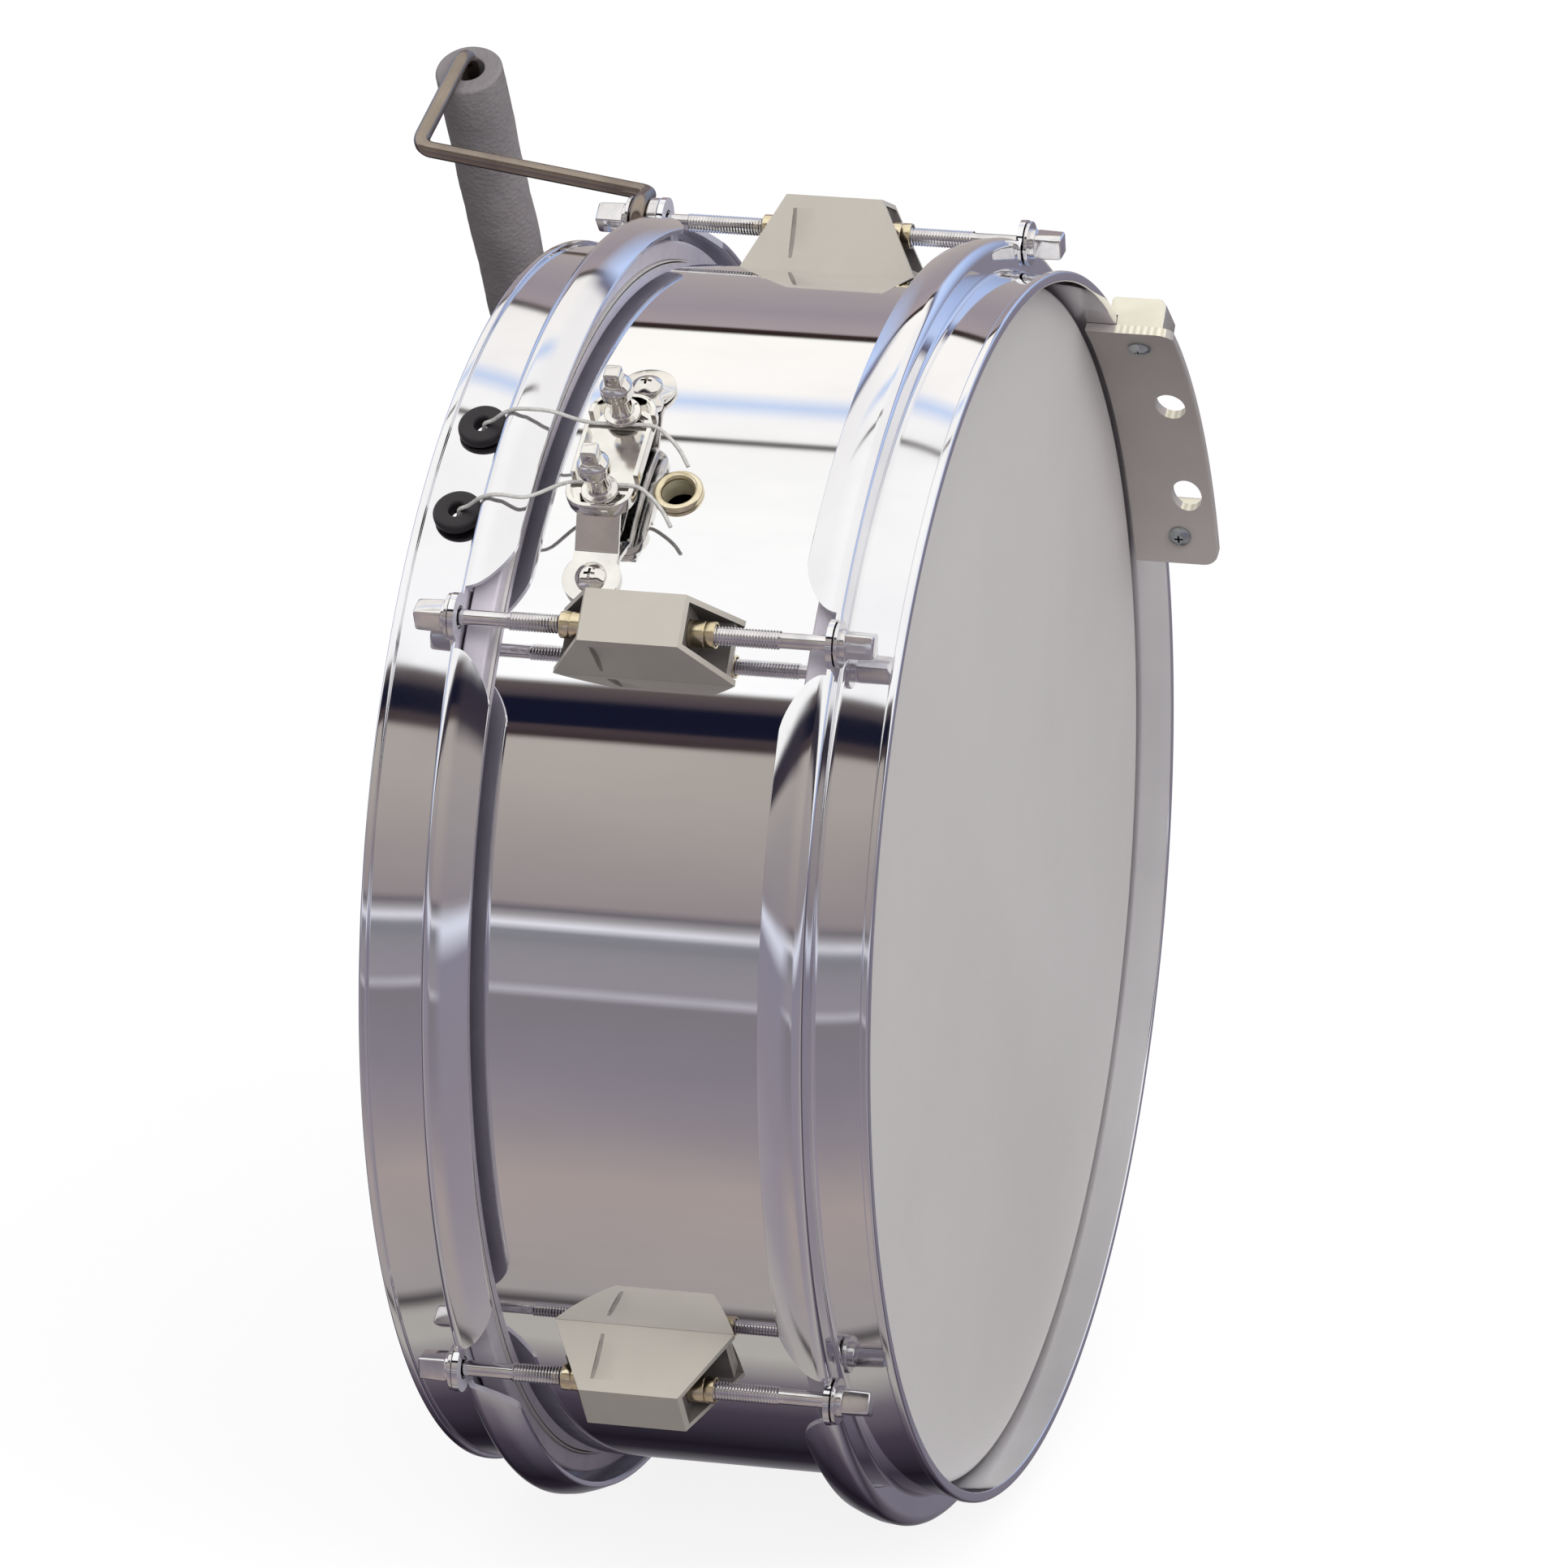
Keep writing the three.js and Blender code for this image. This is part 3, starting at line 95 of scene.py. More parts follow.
def paint(written):
    """A colour written as six hexadecimal digits, as the linear colour that the shaders take."""
    shares = [int(written[start:start + 2], 16) / 255 for start in (0, 2, 4)]
    linear = [share / 12.92 if share <= 0.04045 else ((share + 0.055) / 1.055) ** 2.4 for share in shares]
    return (*linear, 1)


def node(tree, kind, **settings):
    """A new node with its settings and the values of its unlinked sockets."""
    made = tree.nodes.new(kind)
    for name, value in settings.items():
        if hasattr(made, name):
            setattr(made, name, value)
        else:
            made.inputs[name.replace("_", " ")].default_value = value
    return made


def fed(tree, sockets, values):
    """Gives each socket its value, or the link that carries it."""
    for socket, value in zip(sockets, values):
        if isinstance(value, bpy.types.NodeSocket):
            tree.links.new(value, socket)
        else:
            socket.default_value = value


def worked_out(tree, operation, *values):
    """One step of arithmetic, as the socket that carries its result."""
    step = node(tree, "ShaderNodeMath", operation=operation)
    fed(tree, step.inputs, values)
    return step.outputs[0]


def carried(tree, value, **limits):
    """A value carried from one span to another. A span that isn't given is 0 to 1."""
    step = node(tree, "ShaderNodeMapRange", **limits)
    fed(tree, [step.inputs["Value"]], [value])
    return step.outputs[0]


def mixed(tree, share, first, second):
    """A mix of two colours."""
    mix = node(tree, "ShaderNodeMix", data_type="RGBA")
    fed(tree, [mix.inputs[0], mix.inputs[6], mix.inputs[7]], [share, first, second])
    return mix.outputs[2]


def blended(tree, share, first, second):
    """A mix of two shaders."""
    mix = node(tree, "ShaderNodeMixShader")
    fed(tree, mix.inputs, [share, first.outputs[0], second.outputs[0]])
    return mix


# Each stop is a direction in degrees, from straight up towards the camera's side, and the colour seen there.
# The second list is the part in front of the shell, where the cards' edges are sharp. The third is for
# directions that also point along the drum's axis, where a window lights the hoops from above.
room_ring = [
    (-180, "aba7a1"),
    (-170, "6c656d"),
    (-158, "443b48"),
    (-146, "2e2a34"),
    (-138, "1d1721"),
    (-130, "29252d"),
    (-122, "5e5b60"),
    (-114, "818185"),
    (-110, "b4aca4"),
    (-60, "9a9096"),
    (60, "aaa39c"),
    (83.4, "918889"),
    (83.9, "6b656a"),
    (85.4, "6a666a"),
    (85.8, "a09d9f"),
    (86.7, "97959b"),
    (87.1, "dedde4"),
    (87.7, "dadae2"),
    (88.2, "85858e"),
    (89.2, "7b7b80"),
    (92, "8b878d"),
    (98.4, "908b91"),
    (99.1, "5f5a60"),
    (99.7, "b5b2ba"),
    (101.2, "7c767c"),
    (114, "827c86"),
    (126, "8e868a"),
    (138, "a39794"),
    (166, "9c9694"),
    (169, "332e32"),
    (172, "aba7a1"),
]
front_reach = 60
front_ring = [
    (-60, "9a9096"),
    (-51.8, "a4989a"),
    (-51.2, "372b29"),
    (-49.4, "251a19"),
    (-48.6, "fbf8f2"),
    (-29, "fbf8f3"),
    (-25, "c4d5f1"),
    (-21, "fbf9f6"),
    (-15.4, "fdfcf8"),
    (-14.9, "2a211e"),
    (-13.9, "2a211e"),
    (-13.4, "fdfcf8"),
    (40.6, "fdfdfc"),
    (41.4, "5c5351"),
    (43.8, "484045"),
    (44.8, "141628"),
    (49.2, "141628"),
    (49.8, "483d40"),
    (51.6, "382e30"),
    (52.6, "ada59e"),
    (60, "aaa39c"),
]
side_ring = [
    (-180, "a8a39f"),
    (-160, "6a6370"),
    (-140, "39343f"),
    (-124, "5b565f"),
    (-112, "746f7b"),
    (-98, "827e8b"),
    (-88, "94a0bf"),
    (-70, "b3c7ee"),
    (-54, "c3d5f7"),
    (-48, "55506a"),
    (-44, "f4f2ef"),
    (40, "fbfaf7"),
    (44, "2e2a38"),
    (52, "3a343c"),
    (56, "a39c98"),
    (84, "8b8488"),
    (88, "dfe2ee"),
    (94, "87828f"),
    (126, "8c858e"),
    (160, "989196"),
    (180, "a8a39f"),
]
white = (1, 1, 1, 1)
card_level = 1.14
room_level = 0.52
side_shares = ((-0.1, 0.1), (-0.4, -0.6))


def card_ramp(tree, turn, stops, reach):
    """The colours round the drum, as far as a direction in degrees to either side of straight up."""
    share = carried(tree, turn, From_Min=radians(-reach), From_Max=radians(reach))
    ramp = node(tree, "ShaderNodeValToRGB")
    marks_on_ramp = ramp.color_ramp.elements
    while len(marks_on_ramp) < len(stops):
        marks_on_ramp.new(1)
    for stop, (direction, written) in zip(marks_on_ramp, stops):
        stop.position = (direction + reach) / (2 * reach)
        stop.color = paint(written)
    fed(tree, [ramp.inputs[0]], [share])
    return ramp.outputs[0]


def studio_world():
    world = bpy.data.worlds.new("studio")
    world.use_nodes = True
    tree = world.node_tree
    tree.nodes.clear()
    place = node(tree, "ShaderNodeTexCoord")
    parts = node(tree, "ShaderNodeSeparateXYZ")
    fed(tree, parts.inputs, [place.outputs["Generated"]])
    nearer = worked_out(tree, "MULTIPLY", parts.outputs["Y"], -1)
    turn = worked_out(tree, "ARCTAN2", nearer, parts.outputs["Z"])
    whole = card_ramp(tree, turn, room_ring, 180)
    front = card_ramp(tree, turn, front_ring, front_reach)
    window = card_ramp(tree, turn, side_ring, 180)
    ahead = worked_out(tree, "LESS_THAN", worked_out(tree, "ABSOLUTE", turn), radians(front_reach))
    ends = [carried(tree, parts.outputs["X"], From_Min=low, From_Max=high) for low, high in side_shares]
    aside = worked_out(tree, "MAXIMUM", *ends)
    all_round = mixed(tree, aside, mixed(tree, ahead, whole, front), window)
    cards = node(tree, "ShaderNodeBackground", Strength=card_level)
    fed(tree, [cards.inputs["Color"]], [all_round])
    plain = node(tree, "ShaderNodeBackground", Color=white, Strength=room_level)
    backdrop = node(tree, "ShaderNodeBackground", Color=white, Strength=1)
    ray = node(tree, "ShaderNodeLightPath")
    lit = blended(tree, ray.outputs["Is Glossy Ray"], plain, cards)
    seen = worked_out(tree, "MAXIMUM", ray.outputs["Is Camera Ray"], ray.outputs["Is Transmission Ray"])
    output = node(tree, "ShaderNodeOutputWorld")
    fed(tree, [output.inputs["Surface"]], [blended(tree, seen, lit, backdrop).outputs[0]])
    return world


def soft_lamp(name, stands_towards, strength, spread):
    data = bpy.data.lights.new(name, "SUN")
    data.energy = strength
    data.angle = radians(spread)
    lamp = bpy.data.objects.new(name, data)
    lamp.rotation_mode = "QUATERNION"
    lamp.rotation_quaternion = Vector(stands_towards).to_track_quat("Z", "Y")
    lamp.visible_glossy = False
    scene.collection.objects.link(lamp)


def paper_floor():
    """White to the eye with the drum's own shadow on it, and duller where it lights the drum from below."""
    reach = 6
    gap = 0.0004
    glow_level = 0.85
    shape = bmesh.new()
    bmesh.ops.create_grid(shape, x_segments=1, y_segments=1, size=reach)
    bmesh.ops.translate(shape, verts=shape.verts, vec=(0, 0, frame_box[0][2] - gap))
    mesh = bpy.data.meshes.new("paper_floor")
    shape.to_mesh(mesh)
    shape.free()
    material = bpy.data.materials.new("white paper")
    material.use_nodes = True
    tree = material.node_tree
    tree.nodes.clear()
    paper = node(tree, "ShaderNodeBsdfDiffuse", Color=(0.2, 0.195, 0.21, 1))
    glow = node(tree, "ShaderNodeEmission", Color=white)
    ray = node(tree, "ShaderNodeLightPath")
    glowing = worked_out(tree, "MULTIPLY", ray.outputs["Is Camera Ray"], glow_level)
    fed(tree, [glow.inputs["Strength"]], [glowing])
    both = node(tree, "ShaderNodeAddShader")
    fed(tree, both.inputs, [paper.outputs[0], glow.outputs[0]])
    output = node(tree, "ShaderNodeOutputMaterial")
    fed(tree, [output.inputs["Surface"]], [both.outputs[0]])
    floor = bpy.data.objects.new("paper_floor", mesh)
    mesh.materials.append(material)
    floor.visible_glossy = False
    floor.visible_transmission = False
    scene.collection.objects.link(floor)


scene.world = studio_world()
soft_lamp("window", stands_towards=(0.35, -0.7, 0.6), strength=1.6, spread=50)
soft_lamp("side_card", stands_towards=(1, -0.1, 0.2), strength=0.75, spread=70)
paper_floor()


# Shell
# A shallow cylinder of polished steel, rolled and welded, with both ends turned inwards over a
# small radius to make the bearing edges. A vent hole goes through it below the strainer.

mm = 0.001
round_sides = 256
rest_roll = -18.5
snare_face = -129.2
drum_middle = snare_face / 2
seat_gap = 0.3
film_thickness = 0.3
shell_radius = 177.8
shell_depth = 128
shell_wall = 1.2
shell_flange = 4.5
shell_bend = 2.4
shell_front = -(film_thickness + seat_gap)
shell_back = shell_front - shell_depth
vent_turn = 55.7
vent_place = drum_middle - 1.4
vent_hole_radius = 6.3
hair_edge = 0.1
fine_edge = 0.2
small_edge = 0.3
eased_edge = 0.4
soft_edge = 0.5
round_edge = 0.6
bend_step = 15
bend_side_share = 0.48
weld = 0.0005
bump_height = 0.0002


def drum_place(turn=0, along=0, across=0, out=0):
    """Where a piece stands on the drum: turned about its axis, then moved along, across and out."""
    return (
        Matrix.Rotation(radians(rest_roll + turn), 4, "X")
        @ Matrix.Translation((along, across, out))
    )


def snare_place(turn=0, along=0, across=0, out=0):
    """The same for the snare side, which repeats the batter side turned round."""
    return (
        Matrix.Rotation(radians(rest_roll), 4, "X")
        @ Matrix.Translation((snare_face, 0, 0))
        @ Matrix.Rotation(pi, 4, "Z")
        @ Matrix.Rotation(radians(turn), 4, "X")
        @ Matrix.Translation((along, across, out))
    )


def softened(outline, closed=True):
    """An outline's corners rounded. A point is its two places and, where it is rounded, the radius."""
    rounded = []
    count = len(outline)
    for index, point in enumerate(outline):
        corner = Vector(point[:2])
        bend = point[2] if len(point) > 2 else 0
        if bend == 0 or (not closed and index in (0, count - 1)):
            rounded.append(corner)
            continue
        back = Vector(outline[index - 1][:2]) - corner
        ahead = Vector(outline[(index + 1) % count][:2]) - corner
        half = back.angle(ahead) / 2
        reach = min(bend / tan(half), bend_side_share * back.length, bend_side_share * ahead.length)
        radius = reach * tan(half)
        back.normalize()
        ahead.normalize()
        centre = corner + (back + ahead).normalized() * radius / sin(half)
        first = corner + back * reach - centre
        last = corner + ahead * reach - centre
        sweep = pi - 2 * half
        steps = max(2, round(sweep / radians(bend_step)))
        for step in range(steps + 1):
            share = step / steps
            spoke = (first * sin((1 - share) * sweep) + last * sin(share * sweep)) / sin(sweep)
            rounded.append(centre + spoke)
    return rounded


def turned(outline, sides=round_sides):
    """A ring or a solid about the drum's axis. The outline gives places along and radii."""
    hollow = min(point[1] for point in outline) > 0
    shape = bmesh.new()
    corners = [shape.verts.new((along, 0, radius)) for along, radius in softened(outline, hollow)]
    following = corners[1:] + corners[:1] if hollow else corners[1:]
    edges = [shape.edges.new(pair) for pair in zip(corners, following)]
    bmesh.ops.spin(
        shape, geom=corners + edges, cent=(0, 0, 0), axis=(1, 0, 0), dvec=(0, 0, 0),
        angle=2 * pi, steps=sides, use_merge=True, use_duplicate=False,
    )
    bmesh.ops.remove_doubles(shape, verts=shape.verts, dist=weld)
    bmesh.ops.recalc_face_normals(shape, faces=shape.faces)
    return shape


def moved(shape, place):
    bmesh.ops.transform(shape, matrix=place, verts=shape.verts)
    return shape


def turned_out(outline, sides=48):
    """The same, standing out from the drum. The outline gives heights above the axis and radii."""
    return moved(turned(outline, sides), Matrix.Rotation(-pi / 2, 4, "Y"))


def pin(low, high, radius):
    """A round bar that stands out from the drum, from one height above the axis to another."""
    return turned_out([(low, 0), (low, radius), (high, radius), (high, 0)])


def together(shapes):
    """Several shapes in one, as they are."""
    whole = bmesh.new()
    for shape in shapes:
        mesh = bpy.data.meshes.new("part")
        shape.to_mesh(mesh)
        shape.free()
        whole.from_mesh(mesh)
        bpy.data.meshes.remove(mesh)
    return whole


def worked(shape, tool, operation):
    """A shape after a cut or a join with a tool, both used up."""
    things = []
    for part in (shape, tool):
        mesh = bpy.data.meshes.new("work")
        part.to_mesh(mesh)
        part.free()
        thing = bpy.data.objects.new("work", mesh)
        scene.collection.objects.link(thing)
        things.append(thing)
    step = things[0].modifiers.new("step", "BOOLEAN")
    step.operation = operation
    step.solver = "EXACT"
    step.object = things[1]
    bpy.context.view_layer.update()
    evaluated = things[0].evaluated_get(bpy.context.evaluated_depsgraph_get())
    result = bmesh.new()
    result.from_mesh(evaluated.data)
    for thing in things:
        mesh = thing.data
        bpy.data.objects.remove(thing)
        bpy.data.meshes.remove(mesh)
    bmesh.ops.remove_doubles(result, verts=result.verts, dist=weld)
    return result


def eased(shape, edges, reach, segments, clamped=False):
    """The given edges rounded."""
    bmesh.ops.bevel(
        shape, geom=edges, offset=reach, offset_type="OFFSET", segments=segments, profile=0.5,
        affect="EDGES", clamp_overlap=clamped, material=-1,
    )


def level_edges(shape, axis):
    """The edges that lie at one place along an axis."""
    return [edge for edge in shape.edges if len({round(corner.co[axis], 3) for corner in edge.verts}) == 1]


def cut(shape, tools):
    return worked(shape, together(tools), "DIFFERENCE")


def joined(shape, tool):
    return worked(shape, tool, "UNION")


def finish_piece(shape, name, material, slot, replaced, place=None, body="drum", crease=32):
    """Puts a shape in its place, in metres, as a piece that stands for its nodes."""
    moved(shape, Matrix.Scale(mm, 4) @ (place or drum_place()))
    mesh = bpy.data.meshes.new(name)
    shape.to_mesh(mesh)
    shape.free()
    mesh.shade_smooth()
    mesh.set_sharp_from_angle(angle=radians(crease))
    mesh.materials.append(material)
    piece = bpy.data.objects.new(name, mesh)
    scene.collection.objects.link(piece)
    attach(piece, body)
    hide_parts(*replaced)
    return piece


def surface_marks():
    """Broad smudges and fine grain. The mask is 0 to 1, and the height is for a bump."""
    group = bpy.data.node_groups.new("surface marks", "ShaderNodeTree")
    sockets = group.interface
    sockets.new_socket("Place", in_out="INPUT", socket_type="NodeSocketVector")
    for name, way in (("Broad", "INPUT"), ("Fine", "INPUT"), ("Mask", "OUTPUT"), ("Height", "OUTPUT")):
        sockets.new_socket(name, in_out=way, socket_type="NodeSocketFloat")
    given = node(group, "NodeGroupInput")
    drawn = []
    for size, detail, roughness in (("Broad", 4.0, 0.6), ("Fine", 2.0, 0.5)):
        noise_drawn = node(group, "ShaderNodeTexNoise", Detail=detail, Roughness=roughness)
        wanted = [noise_drawn.inputs["Vector"], noise_drawn.inputs["Scale"]]
        fed(group, wanted, [given.outputs["Place"], given.outputs[size]])
        drawn.append(noise_drawn.outputs["Fac"])
    smudge, grain = drawn
    result = node(group, "NodeGroupOutput")
    fed(group, result.inputs, [carried(group, smudge, From_Min=0.35, From_Max=0.68), grain])
    return group


marks = surface_marks()


def finish(name, clean, marked, metallic, smooth, rough, broad, fine, bump, stretch=(1, 1, 1)):
    """A material whose colour and gloss drift with its marks. The stretch is for rolled or turned grain."""
    material = bpy.data.materials.new(name)
    material.use_nodes = True
    tree = material.node_tree
    shader = tree.nodes["Principled BSDF"]
    place = node(tree, "ShaderNodeTexCoord")
    drawn = node(tree, "ShaderNodeMapping", Scale=stretch)
    fed(tree, [drawn.inputs["Vector"]], [place.outputs["Object"]])
    worn = node(tree, "ShaderNodeGroup", node_tree=marks, Broad=broad, Fine=fine)
    fed(tree, [worn.inputs["Place"]], [drawn.outputs[0]])
    mask = worn.outputs["Mask"]
    raised = node(tree, "ShaderNodeBump", Strength=bump, Distance=bump_height)
    fed(tree, [raised.inputs["Height"]], [worn.outputs["Height"]])
    shader.inputs["Metallic"].default_value = metallic
    fed(tree, [shader.inputs["Base Color"]], [mixed(tree, mask, paint(clean), paint(marked))])
    fed(tree, [shader.inputs["Roughness"]], [carried(tree, mask, To_Min=smooth, To_Max=rough)])
    fed(tree, [shader.inputs["Normal"]], [raised.outputs[0]])
    return material


shell_chrome = finish("polished shell", "f3f3f5", "ebebee", 1, 0.02, 0.06, 9, 40, 0.012, stretch=(1, 3, 3))


def make_shell():
    rows = 24
    wall = [(shell_back + shell_depth * row / rows, shell_radius) for row in range(1, rows)]
    outline = [
        (shell_back, shell_radius, shell_bend),
        *wall,
        (shell_front, shell_radius, shell_bend),
        (shell_front, shell_radius - shell_bend - shell_flange),
        (shell_front - shell_wall, shell_radius - shell_bend - shell_flange),
        (shell_front - shell_wall, shell_radius - shell_wall, shell_wall),
        (shell_back + shell_wall, shell_radius - shell_wall, shell_wall),
        (shell_back + shell_wall, shell_radius - shell_bend - shell_flange),
        (shell_back, shell_radius - shell_bend - shell_flange),
    ]
    low, high = shell_radius - 3 * shell_wall, shell_radius + 2 * shell_wall
    vent = pin(low, high, vent_hole_radius)
    moved(vent, Matrix.Rotation(radians(vent_turn), 4, "X") @ Matrix.Translation((vent_place, 0, 0)))
    shape = cut(turned(outline), [vent])
    finish_piece(shape, "shell_tube", shell_chrome, "shell", ["shell"])


make_shell()


# Vent eyelet
# A turned brass ring, rolled over on both faces of the shell so that it grips the hole's edge.

vent_flange_radius = 7.4
vent_flange_height = 1.8
vent_neck_radius = 6
vent_bore_radius = 4.7
vent_tube_depth = 5
vent_tube_wall = 0.5
vent_back_sheet = 1.2
vent_roll = 1.3
vent_mouth = 1.2
vent_lip_depth = 1.4
hair_gap = 0.05

vent_brass = finish("eyelet brass", "f0e6cd", "d9cba6", 1, 0.12, 0.28, 120, 900, 0.05)
# Painted shade: deep in the bore the brass is darker and duller, for the shade inside the hole.
shaded_bore_brass = finish("brass with painted bore shade", "c4bca4", "a8a086", 0.15, 0.5, 0.65, 200, 900, 0.1)


def make_vent():
    seat = shell_radius + hair_gap
    top = seat + vent_flange_height
    under = shell_radius - shell_wall - hair_gap
    back = under - vent_back_sheet
    outline = [
        (under - vent_tube_depth, vent_bore_radius, fine_edge),
        (under - vent_tube_depth, vent_bore_radius + vent_tube_wall, fine_edge),
        (back, vent_bore_radius + vent_tube_wall + hair_edge),
        (back, vent_flange_radius, soft_edge),
        (under, vent_flange_radius, small_edge),
        (under, vent_neck_radius),
        (seat, vent_neck_radius),
        (seat, vent_flange_radius, small_edge),
        (top, vent_flange_radius, vent_roll),
        (top, vent_bore_radius, vent_mouth),
    ]
    shape = turned_out(outline)
    # Faces deep in the bore take the brass with painted shade.
    for face in shape.faces:
        middle = face.calc_center_median()
        bore = Vector((middle.x, middle.y)).length < vent_bore_radius + hair_edge
        if bore and middle.z < top - vent_lip_depth:
            face.material_index = 1
    place = drum_place(vent_turn, along=vent_place)
    ring = finish_piece(shape, "vent_ring", vent_brass, "brass", ["vent_eyelet"], place)
    ring.data.materials.append(shaded_bore_brass)


make_vent()


# Drumheads
# Coated polyester film, hot-formed with a collar that goes down over the bearing edge. Each is glued
# into a rolled aluminium flesh hoop, which the counter hoop presses on. The coating is matt and plain.

collar_radius = shell_radius + seat_gap
collar_margin = 0.8
edge_radius = 3
hoop_sheet = 1.8
flange_faces = {"batter": -6.5, "snare": -9.9}
flesh_hoop_depth = 7.6
flesh_hoop_width = 5.6
flesh_hoop_edge = 1
sides = {"batter": drum_place(), "snare": snare_place()}


def coated_film():
    """Sprayed coating: a fine pebble, with the faint cloudiness of a played head."""
    material = finish("coated film", "dbd7d6", "d4d0ce", 0, 0.62, 0.74, 6, 1400, 0.35)
    shader = material.node_tree.nodes["Principled BSDF"]
    shader.inputs["Specular IOR Level"].default_value = 0.3
    return material


film = coated_film()
flesh_hoop_metal = finish("rolled aluminium", "dcd6e0", "cbc5d0", 0.3, 0.4, 0.55, 60, 700, 0.05)


def make_head(side, place):
    outer = collar_radius + film_thickness
    top = flange_faces[side] - hoop_sheet - seat_gap
    bottom = top - flesh_hoop_depth
    collar = bottom - collar_margin
    outline = [
        (0, 0),
        (0, outer, edge_radius),
        (collar, outer),
        (collar, collar_radius),
        (-film_thickness, collar_radius, edge_radius - film_thickness),
        (-film_thickness, 0),
    ]
    finish_piece(turned(outline), f"{side}_film", film, "head", [f"{side}_head_film"], place)
    inner = outer + seat_gap / 2
    ring = [
        (top, inner, round_edge),
        (top, inner + flesh_hoop_width, flesh_hoop_edge),
        (bottom, inner + flesh_hoop_width, flesh_hoop_edge),
        (bottom, inner, round_edge),
    ]
    node_name = f"{side}_flesh_hoop"
    finish_piece(turned(ring), f"{side}_flesh_ring", flesh_hoop_metal, "flesh_hoop", [node_name], place)


for side, place in sides.items():
    make_head(side, place)


# Counter hoops
# Pressed steel, chromed: a rolled rim, a wall, a flange that carries an ear at each lug, and a deep skirt
# that is cut away round the ears. The snare hoop's wall is pierced for the grommets.

rim_proud = 10.5
rim_bead = 2.6
hoop_inner_radius = shell_radius + 1.6
hoop_wall_radius = hoop_inner_radius + hoop_sheet
rim_radius = hoop_wall_radius + 1.4
skirt_radius = hoop_wall_radius + 10
skirt_shoulder = 4
skirt_belly = 7
skirt_depth = 14
skirt_lip_radius = skirt_radius - 3
rod_circle = shell_radius + 12.7
ear_radius = 7.1
ear_hole_radius = 3.4
gap_half_width = 9.5
gap_flare = 14.5
gap_corner_share = 0.2
gap_corner = 2
gap_overrun = 3
rim_edge = 0.8
rim_curl = 1.1
wall_bend = 1.4
belly_bend = 30
ear_bend = 3
ear_root = 2
lug_count = 5
lug_turns = [360 / lug_count * lug for lug in range(lug_count)]
snare_turn = 55.7
butt_turn = snare_turn + 180
cord_spread = 15.8
grommet_place = -1.9
grommet_neck_radius = 4.5

hoop_chrome = finish("chromed hoop", "f1f1f4", "e6e6ea", 1, 0.03, 0.09, 14, 60, 0.02)
dull_chrome = finish("unpolished inside", "e0dee8", "cfcdd9", 0.25, 0.3, 0.42, 40, 300, 0.04)


def pressed(outline, depth):
    """A flat outline, given as points in space, pressed along a direction."""
    shape = bmesh.new()
    face = shape.faces.new([shape.verts.new(point) for point in outline])
    grown = bmesh.ops.extrude_face_region(shape, geom=[face])
    corners = [part for part in grown["geom"] if isinstance(part, bmesh.types.BMVert)]
    bmesh.ops.translate(shape, verts=corners, vec=depth)
    bmesh.ops.recalc_face_normals(shape, faces=shape.faces)
    return shape


def hoop_ring(flange):
    belly = flange - skirt_belly
    free = flange - skirt_depth
    under = flange - hoop_sheet
    return turned([
        (rim_proud, hoop_inner_radius, eased_edge),
        (rim_proud, rim_radius, rim_edge),
        (rim_proud - rim_bead, rim_radius, rim_curl),
        (rim_proud - rim_bead, hoop_wall_radius, small_edge),
        (flange, hoop_wall_radius, wall_bend),
        (flange, skirt_radius, skirt_shoulder),
        (belly, skirt_radius, belly_bend),
        (free, skirt_lip_radius, soft_edge),
        (free + soft_edge, skirt_lip_radius - hoop_sheet, soft_edge),
        (belly, skirt_radius - hoop_sheet, belly_bend),
        (under, skirt_radius - hoop_sheet, skirt_shoulder - hoop_sheet),
        (under, hoop_inner_radius, round_edge),
    ])


def skirt_gap(flange):
    """The cutter for one gap: narrow at the flange, and sweeping out towards the skirt's free edge."""
    low = hoop_wall_radius + hoop_sheet
    top = flange - hoop_sheet
    free = flange - skirt_depth
    steps = 14
    edge = []
    for step in range(steps + 1):
        share = step / steps
        rounding = gap_corner * max(0, (share - 1 + gap_corner_share) / gap_corner_share) ** 3
        edge.append((top + (free - top) * share, gap_half_width + gap_flare * share ** 2 + rounding))
    edge.append((free - hoop_sheet, gap_half_width + gap_flare + gap_overrun))
    outline = [(along, across, low) for along, across in edge]
    outline += [(along, -across, low) for along, across in reversed(edge)]
    return pressed(outline, (0, 0, skirt_radius + hoop_sheet - low))


def hoop_ear(flange):
    root = hoop_wall_radius - hoop_sheet / 2
    shoulder = skirt_radius - skirt_shoulder
    tip = []
    for degree in range(0, 181, 10):
        tip.append((ear_radius * cos(radians(degree)), rod_circle + ear_radius * sin(radians(degree))))
    outline = [
        (-gap_half_width - ear_root, root),
        (gap_half_width + ear_root, root),
        (gap_half_width, shoulder, ear_bend),
        *tip,
        (-gap_half_width, shoulder, ear_bend),
    ]
    low = flange - hoop_sheet
    return pressed([(low, across, out) for across, out in softened(outline)], (hoop_sheet, 0, 0))


def bar(along, radius, sides=48):
    return turned([(along[0], 0), (along[0], radius), (along[1], radius), (along[1], 0)], sides)


